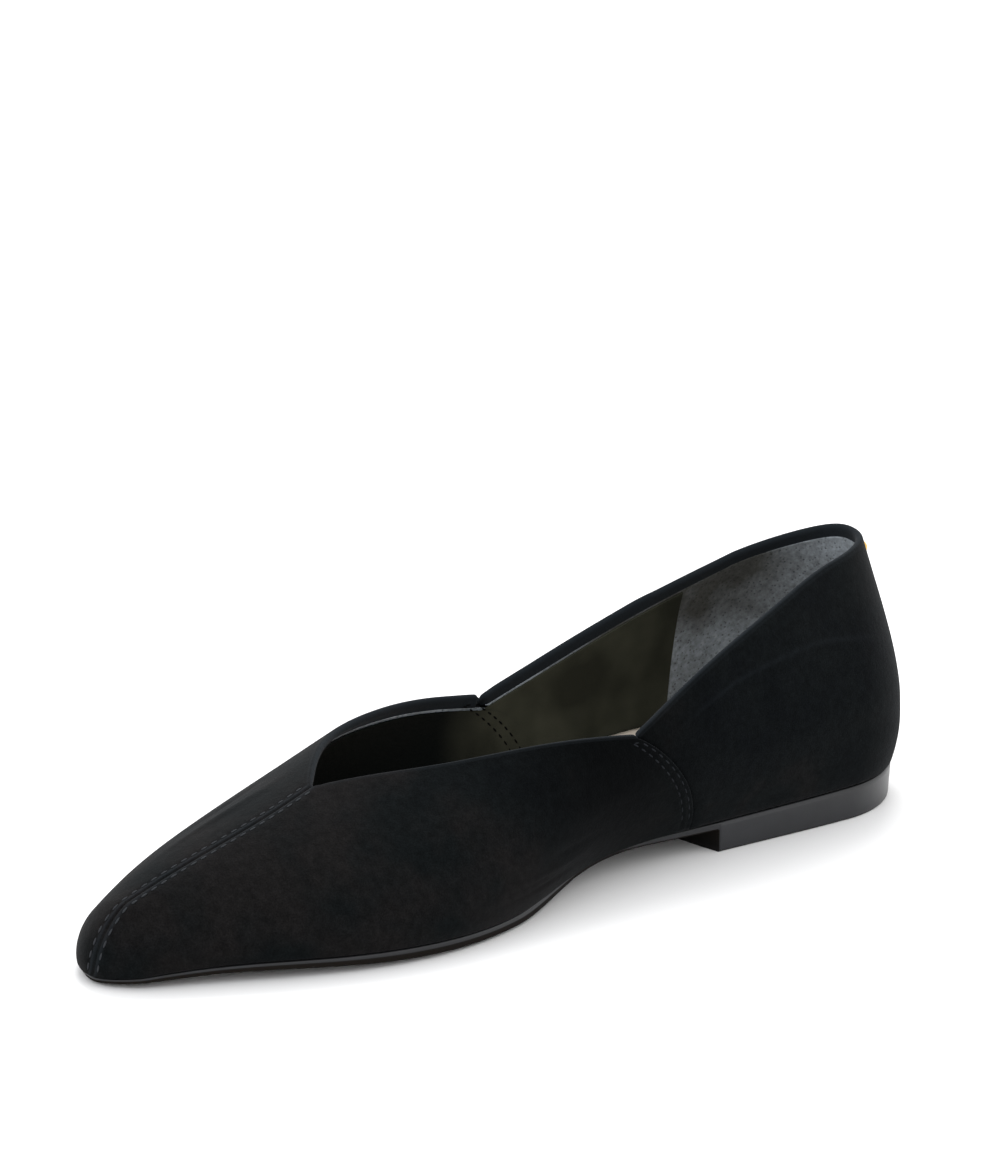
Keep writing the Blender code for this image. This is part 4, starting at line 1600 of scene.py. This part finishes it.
@dataclass(frozen=True)
class Outsole:
    """The moulded sole unit: heel block, thin waist and forepart in one.

    The breast is the front face of the heel block, and the waist the arched part before it.
    """

    gap: float = 0.4
    breast: float = 76.0
    breast_run: float = 0.8
    breast_bow: float = 2.0
    waist_rise: float = 5.4
    waist_from: float = 104.0
    tread_from: float = 152.0
    tread_to: float = 236.0
    side_slope: float = 0.3
    edge_round: float = 0.35

    # station, how far the toe springs off the floor
    SPRING = ((152.0, 0.0), (170.0, 0.1), (200.0, 1.1), (235.0, 2.3), (263.0, 0.4))
    # station, how far the side lies in from the feather line, how far its under edge is lifted, tread inset
    EDGE_COLUMNS = ("station", "inset", "lift", "tread")
    EDGE = (
        (0.0, 0.3, 0.6, 1.4), (76.0, 0.3, 0.6, 1.4), (76.8, 0.3, 1.2, 4.0), (100.0, 1.5, 1.3, 5.0),
        (125.0, 1.5, 1.3, 5.0), (152.0, 0.5, 1.2, 5.0), (236.0, 0.5, 1.2, 5.0), (263.0, 0.9, 0.5, 4.0),
    )

    def read(self, name: str, along: np.ndarray) -> np.ndarray:
        """Return a size of the edge at each place, straight between the table's rows."""
        column = self.EDGE_COLUMNS.index(name)
        return np.interp(along, [row[0] for row in self.EDGE], [row[column] for row in self.EDGE])

    def underside(self, along: np.ndarray) -> np.ndarray:
        """Return the height of the under face above the floor.

        Args:
            along: Places along the shoe.

        Returns:
            The heights.
        """
        reached = smooth((along - self.waist_from) / (self.tread_from - self.waist_from))
        waist = self.waist_rise * (1.0 - reached)
        spring = NaturalCurve([row[0] for row in self.SPRING], [row[1] for row in self.SPRING])
        toe = np.where(along > self.tread_from, np.maximum(spring(along), 0.0), 0.0)
        return np.where(along <= self.breast, 0.0, waist + toe)

    def ring(self, side: Side, along: np.ndarray, face: Face, value: float) -> np.ndarray:
        """Return one ring of the sole.

        Args:
            side: The side of the shoe.
            along: Places along the feather line.
            face: The part of the sole that it is on.
            value: The share of the way along that part.

        Returns:
            The points.
        """
        inset, lift, tread = (self.read(name, along) for name in self.EDGE_COLUMNS[1:])
        turn = value * math.pi / 2.0
        base = self.underside(along)
        upper = LAST.inset(side, along, inset)
        high = upper[:, UP] - self.gap
        low = base + lift
        if face is Face.TOP:
            soft = self.edge_round
            point = LAST.inset(side, along, inset + soft * (1.0 - math.sin(turn)) + (1.0 - value))
            point[:, UP] = high - soft * (1.0 - math.cos(turn))
            return point
        if face is Face.WALL:
            point = LAST.inset(side, along, inset + self.side_slope * value)
            point[:, UP] = (high - self.edge_round) * (1.0 - value) + low * value
            return point
        if face is Face.ROUND:
            edge = inset + self.side_slope
            point = LAST.inset(side, along, edge + (tread - edge) * (1.0 - math.cos(turn)) ** 0.9)
            point[:, UP] = base + lift * (1.0 - math.sin(turn)) ** 1.2
            return point
        edge_point = LAST.inset(side, along, tread)
        edge_point[:, UP] = base
        middle = edge_point.copy()
        middle[:, ACROSS] = 0.0
        point = edge_point * (1.0 - value) + middle * value
        bow = (along >= self.breast - 0.01) & (along <= self.breast + self.breast_run + 0.01)
        point[:, ALONG] += np.where(bow, self.breast_bow * (1.0 - (1.0 - value) ** 2), 0.0)
        return point

    def tread_and_shade_tone(self, along: np.ndarray, face: Face, value: float) -> np.ndarray:
        """Return how far each point of a ring takes the tread's brown black, which stands partly for painted
        shade.

        Args:
            along: Places along the feather line.
            face: The part of the sole that the ring is on.
            value: Its share of the way along that part.

        Returns:
            The shares of the tread's colour.
        """
        # Painted shade on the breast, on the lower part of the forepart's wall (partly its own dark edge
        # colour) and on the sole's top next to the upper; the heel block's underside and rounded under edge
        # take 0.6 of it.
        ahead = (along > self.breast + 0.01).astype(float)
        if face in (Face.UNDER, Face.ROUND):
            return np.maximum(ahead, 0.6)
        if face is Face.WALL:
            return ahead * smooth(np.full(len(along), (value - 0.38) / 0.2)) * smooth((along - 95.0) / 20.0)
        return np.full(len(along), 1.0 - value)

    def build(self, rubber: bpy.types.Material) -> None:
        """Build the sole as one closed form.

        Args:
            rubber: Its material.
        """
        plan = [(Face.TOP, value) for value in np.linspace(0.0, 1.0, 6)]
        rest = np.linspace(0.0, 1.0, 7)[1:]
        plan += [(face, value) for face in (Face.WALL, Face.ROUND, Face.UNDER) for value in rest]
        waist = self.breast + self.breast_run
        columns = spans(
            (0.0, 24), (LAST.heel_turn, 20), (self.breast - 0.4, 1), (self.breast, 4), (waist, 1),
            (waist + 0.4, 20), (self.waist_from, 40), (self.tread_from, 40), (self.tread_to, 14),
            (LAST.length - LAST.toe_turn, 24), (LAST.length, 0),
        )
        parts = []
        for side in Side:
            bm, i, j = grid(len(columns), len(plan))
            points = np.zeros((len(i), 3))
            tread_and_shade = np.zeros(len(i))
            for row, (face, value) in enumerate(plan):
                at = j == row
                points[at] = self.ring(side, columns[i[at]], face, value)
                tread_and_shade[at] = self.tread_and_shade_tone(columns[i[at]], face, value)
            lay(bm, points, side is Side.OUT)
            layer = bm.verts.layers.float.new(TREAD_AND_SHADE)
            for vert, amount in zip(bm.verts, tread_and_shade):
                vert[layer] = amount
            parts.append(bm)
        whole = joined(parts)
        bmesh.ops.remove_doubles(whole, verts=whole.verts, dist=WELD * MM)
        bmesh.ops.holes_fill(whole, edges=[edge for edge in whole.edges if edge.is_boundary], sides=0)
        bmesh.ops.triangulate(whole, faces=[face for face in whole.faces if len(face.verts) > 4])
        bmesh.ops.recalc_face_normals(whole, faces=whole.faces)
        piece("moulded_outsole", whole, rubber, ("outsole",))


@dataclass(frozen=True)
class Sock:
    """The insole with its leather sock, which lies on the lasting margin inside the wall."""

    under: float = 2.3
    thickness: float = 1.5
    edge_drop: float = 0.5
    reach: float = 2.75
    middle_inset: float = 6.0
    end_gap: float = 0.6

    def rim(self, side: Side, along: np.ndarray, height: float) -> np.ndarray:
        """Return the points inside the wall at a height above the feather line.

        Args:
            side: The side of the shoe.
            along: Places along the shoe.
            height: The height.

        Returns:
            The points.
        """
        low, high = np.full(len(along), 0.01), np.full(len(along), 0.6)
        point = np.zeros((len(along), 3))
        for _ in range(24):
            share = (low + high) / 2.0
            point = LAST.surface(side, along, share) - self.reach * LAST.normal(side, along, share)
            below = point[:, UP] - LAST.curve("feather_z")(point[:, ALONG]) < height
            low, high = np.where(below, share, low), np.where(below, high, share)
        return point

    def build(self, leather: bpy.types.Material) -> None:
        """Build the sock as a thin closed slab.

        Args:
            leather: Its material.
        """
        low, middle_low, high = 0.0, self.thickness - self.edge_drop, self.thickness
        plan = [(out, high) for out in (0.0, 0.3, 0.6, 0.85, 0.95, 1.0)]
        plan += [(1.0, middle_low)] + [(out, low) for out in (1.0, 0.6, 0.0)]
        columns = spans(
            (self.end_gap, 24), (LAST.heel_turn, 80), (LAST.length - LAST.toe_turn, 16),
            (LAST.length - self.end_gap, 0),
        )
        parts = []
        for side in Side:
            bm, i, j = grid(len(columns), len(plan))
            points = np.zeros((len(i), 3))
            for row, (out, level) in enumerate(plan):
                at = j == row
                along = columns[i[at]]
                rim = self.rim(side, along, self.under + level)
                middle, _ = LAST.turned(along, self.middle_inset, self.middle_inset)
                up = LAST.curve("feather_z")(middle) + self.under + level
                centre = np.stack([middle, np.zeros(len(along)), up], axis=-1)
                points[at] = centre * (1.0 - out) + rim * out
            lay(bm, points, side is Side.IN)
            parts.append(bm)
        whole = joined(parts)
        bmesh.ops.remove_doubles(whole, verts=whole.verts, dist=WELD * MM)
        bmesh.ops.holes_fill(whole, edges=[edge for edge in whole.edges if edge.is_boundary], sides=0)
        bmesh.ops.recalc_face_normals(whole, faces=whole.faces)
        piece("sock", whole, leather, ("insole",))


@dataclass(frozen=True)
class BackStud:
    """The low domed stud on the back seam."""

    radius: float = 1.7
    height: float = 1.5
    below: float = 6.0
    round_heel: float = 4.0
    gap: float = 0.05
    segments: int = 32

    # share of the radius, share of the height
    PROFILE = ((1.0, 0.0), (1.0, 0.22), (0.96, 0.34), (0.86, 0.62), (0.66, 0.85), (0.38, 0.97), (0.0, 1.0))

    def build(self, brass: bpy.types.Material) -> None:
        """Build the stud by spinning its profile.

        Args:
            brass: Its material.
        """
        along = np.full(1, self.round_heel)
        rim = LAST.covered(Side.IN, along, True)
        along, share = LAST.moved(Side.IN, along, rim, np.array([[0.0, 0.0, -self.below]]))
        normal = LAST.normal(Side.IN, along, share)
        seat = LAST.surface(Side.IN, along, share) + normal * self.gap
        place, above = (Vector(p) for p in LAST.placed(np.concatenate([seat, seat + normal])))
        bm = bmesh.new()
        verts = [bm.verts.new((x * self.radius * MM, 0.0, z * self.height * MM)) for x, z in self.PROFILE]
        edges = [bm.edges.new(pair) for pair in zip(verts, verts[1:])]
        bmesh.ops.spin(
            bm, geom=verts + edges, axis=(0.0, 0.0, 1.0), cent=(0.0, 0.0, 0.0), steps=self.segments,
            angle=2.0 * math.pi, use_merge=True,
        )
        bmesh.ops.remove_doubles(bm, verts=bm.verts, dist=WELD * MM)
        bmesh.ops.holes_fill(bm, edges=[edge for edge in bm.edges if edge.is_boundary], sides=0)
        bmesh.ops.recalc_face_normals(bm, faces=bm.faces)
        turn = Vector((0.0, 0.0, 1.0)).rotation_difference((above - place).normalized())
        bmesh.ops.transform(bm, matrix=Matrix.Translation(place) @ turn.to_matrix().to_4x4(), verts=bm.verts)
        piece("gilt_back_stud", bm, brass, ("back_stud",))


@dataclass(frozen=True)
class Studio:
    """The plain pale floor, soft light and the camera."""

    azimuth: float = 46.91
    elevation: float = 18.677
    roll: float = -2.263
    distance: float = 2274.5
    focal_px: float = 9124.4
    shift_px: tuple[float, float] = (-1.42, 200.83)
    aim_height: float = 25.0
    long_side_px: float = 1150.0
    sensor: float = 36.0
    floor_half: float = 6.0
    floor_cloud: float = 300.0
    floor_dark: str = "#e6e6e6"
    floor_light: str = "#eaeaea"
    sky: str = "#ffffff"
    sky_strength: float = 1.45

    def build_camera(self) -> None:
        """Set the camera where the photograph was taken from."""
        az, el, roll = (math.radians(v) for v in (self.azimuth, self.elevation, self.roll))
        right = Vector((math.cos(az), math.sin(az), 0.0))
        ahead = Vector((-math.sin(az) * math.cos(el), math.cos(az) * math.cos(el), -math.sin(el)))
        up = right.cross(ahead)
        per_px = self.distance / self.focal_px
        place = Vector((0.0, 0.0, self.aim_height)) - ahead * self.distance
        place += right * (self.shift_px[0] * per_px) + up * (self.shift_px[1] * per_px)
        x_axis = right * math.cos(roll) - up * math.sin(roll)
        y_axis = right * math.sin(roll) + up * math.cos(roll)
        data = bpy.data.cameras.new("camera")
        data.sensor_width = self.sensor
        data.lens = self.focal_px * self.sensor / self.long_side_px
        data.clip_start, data.clip_end = 0.05, 20.0
        camera = bpy.data.objects.new("camera", data)
        turn = Matrix((x_axis, y_axis, -ahead)).transposed().to_4x4()
        camera.matrix_world = Matrix.Translation(place * MM) @ turn
        bpy.context.scene.collection.objects.link(camera)
        bpy.context.scene.camera = camera

    def build_floor(self) -> None:
        """Lay a wide pale floor under the shoe."""
        finish = Finish("pale_paper", {"Roughness": 0.9, "Specular IOR Level": 0.1})
        cloud = finish.add(Node.NOISE, "Fac", {
            "in:Scale": scale_of(self.floor_cloud), "in:Detail": 1.0,
        }, Vector=finish.at)
        colour = finish.add(Node.RAMP, "Color", {
            "stops": ((0.0, self.floor_dark), (1.0, self.floor_light)),
        }, Fac=cloud)
        bm = bmesh.new()
        bmesh.ops.create_grid(bm, x_segments=8, y_segments=8, size=self.floor_half)
        mesh = bpy.data.meshes.new("floor")
        bm.to_mesh(mesh)
        bm.free()
        mesh.materials.append(finish.close(Base_Color=colour))
        floor = bpy.data.objects.new("floor", mesh)
        bpy.context.scene.collection.objects.link(floor)

    def add_softbox(
        self, name: str, place: tuple[float, float, float], size: float, power: float, colour: str
    ) -> None:
        """Add a square soft light that faces the shoe.

        Args:
            name: The light's name.
            place: Its place, in metres.
            size: Its side, in metres.
            power: Its power, in watts.
            colour: Its hex colour.
        """
        data = bpy.data.lights.new(name, "AREA")
        data.size = size
        data.energy = power
        data.color = linear(colour)[:3]
        light = bpy.data.objects.new(name, data)
        light.location = place
        light.rotation_mode = "QUATERNION"
        light.rotation_quaternion = (-Vector(place)).to_track_quat("-Z", "Y")
        bpy.context.scene.collection.objects.link(light)

    def build_light(self) -> None:
        """Light the shoe softly from all round, with a brighter box above its far side."""
        world = bpy.data.worlds.new("studio")
        world.use_nodes = True
        background = world.node_tree.nodes["Background"]
        background.inputs["Color"].default_value = linear(self.sky)
        background.inputs["Strength"].default_value = self.sky_strength
        bpy.context.scene.world = world
        self.add_softbox("key", (-1.1, 0.9, 1.9), 1.2, 34.0, "#ffffff")
        self.add_softbox("fill", (0.2, -1.9, 1.3), 1.4, 12.0, "#f2f6ff")
        bpy.context.scene.view_settings.view_transform = "Standard"


def main() -> None:
    """Build the shoe round its frame, the studio and the camera."""
    logging.basicConfig(level=logging.INFO, format="%(message)s")
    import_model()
    suede, grip = KidSuede().build(), PigskinGrip().build()
    charcoal = WaxedThread("charcoal_thread", "#292b2e", 0.12).build()
    grey = WaxedThread("grey_black_thread", "#1a1c1f", 0.07).build()
    dark = WaxedThread("black_thread", "#060707", 0.02).build()
    upper = Upper()
    upper.build_vamp(suede)
    upper.build_quarter(suede)
    upper.build_linings(LiningLeather().build(), grip)
    upper.build_thread(charcoal, grey, dark)
    Outsole().build(MouldedRubber().build())
    Sock().build(SockLeather().build())
    BackStud().build(GiltBrass().build())
    studio = Studio()
    studio.build_floor()
    studio.build_light()
    studio.build_camera()


if __name__ == "__main__":
    main()
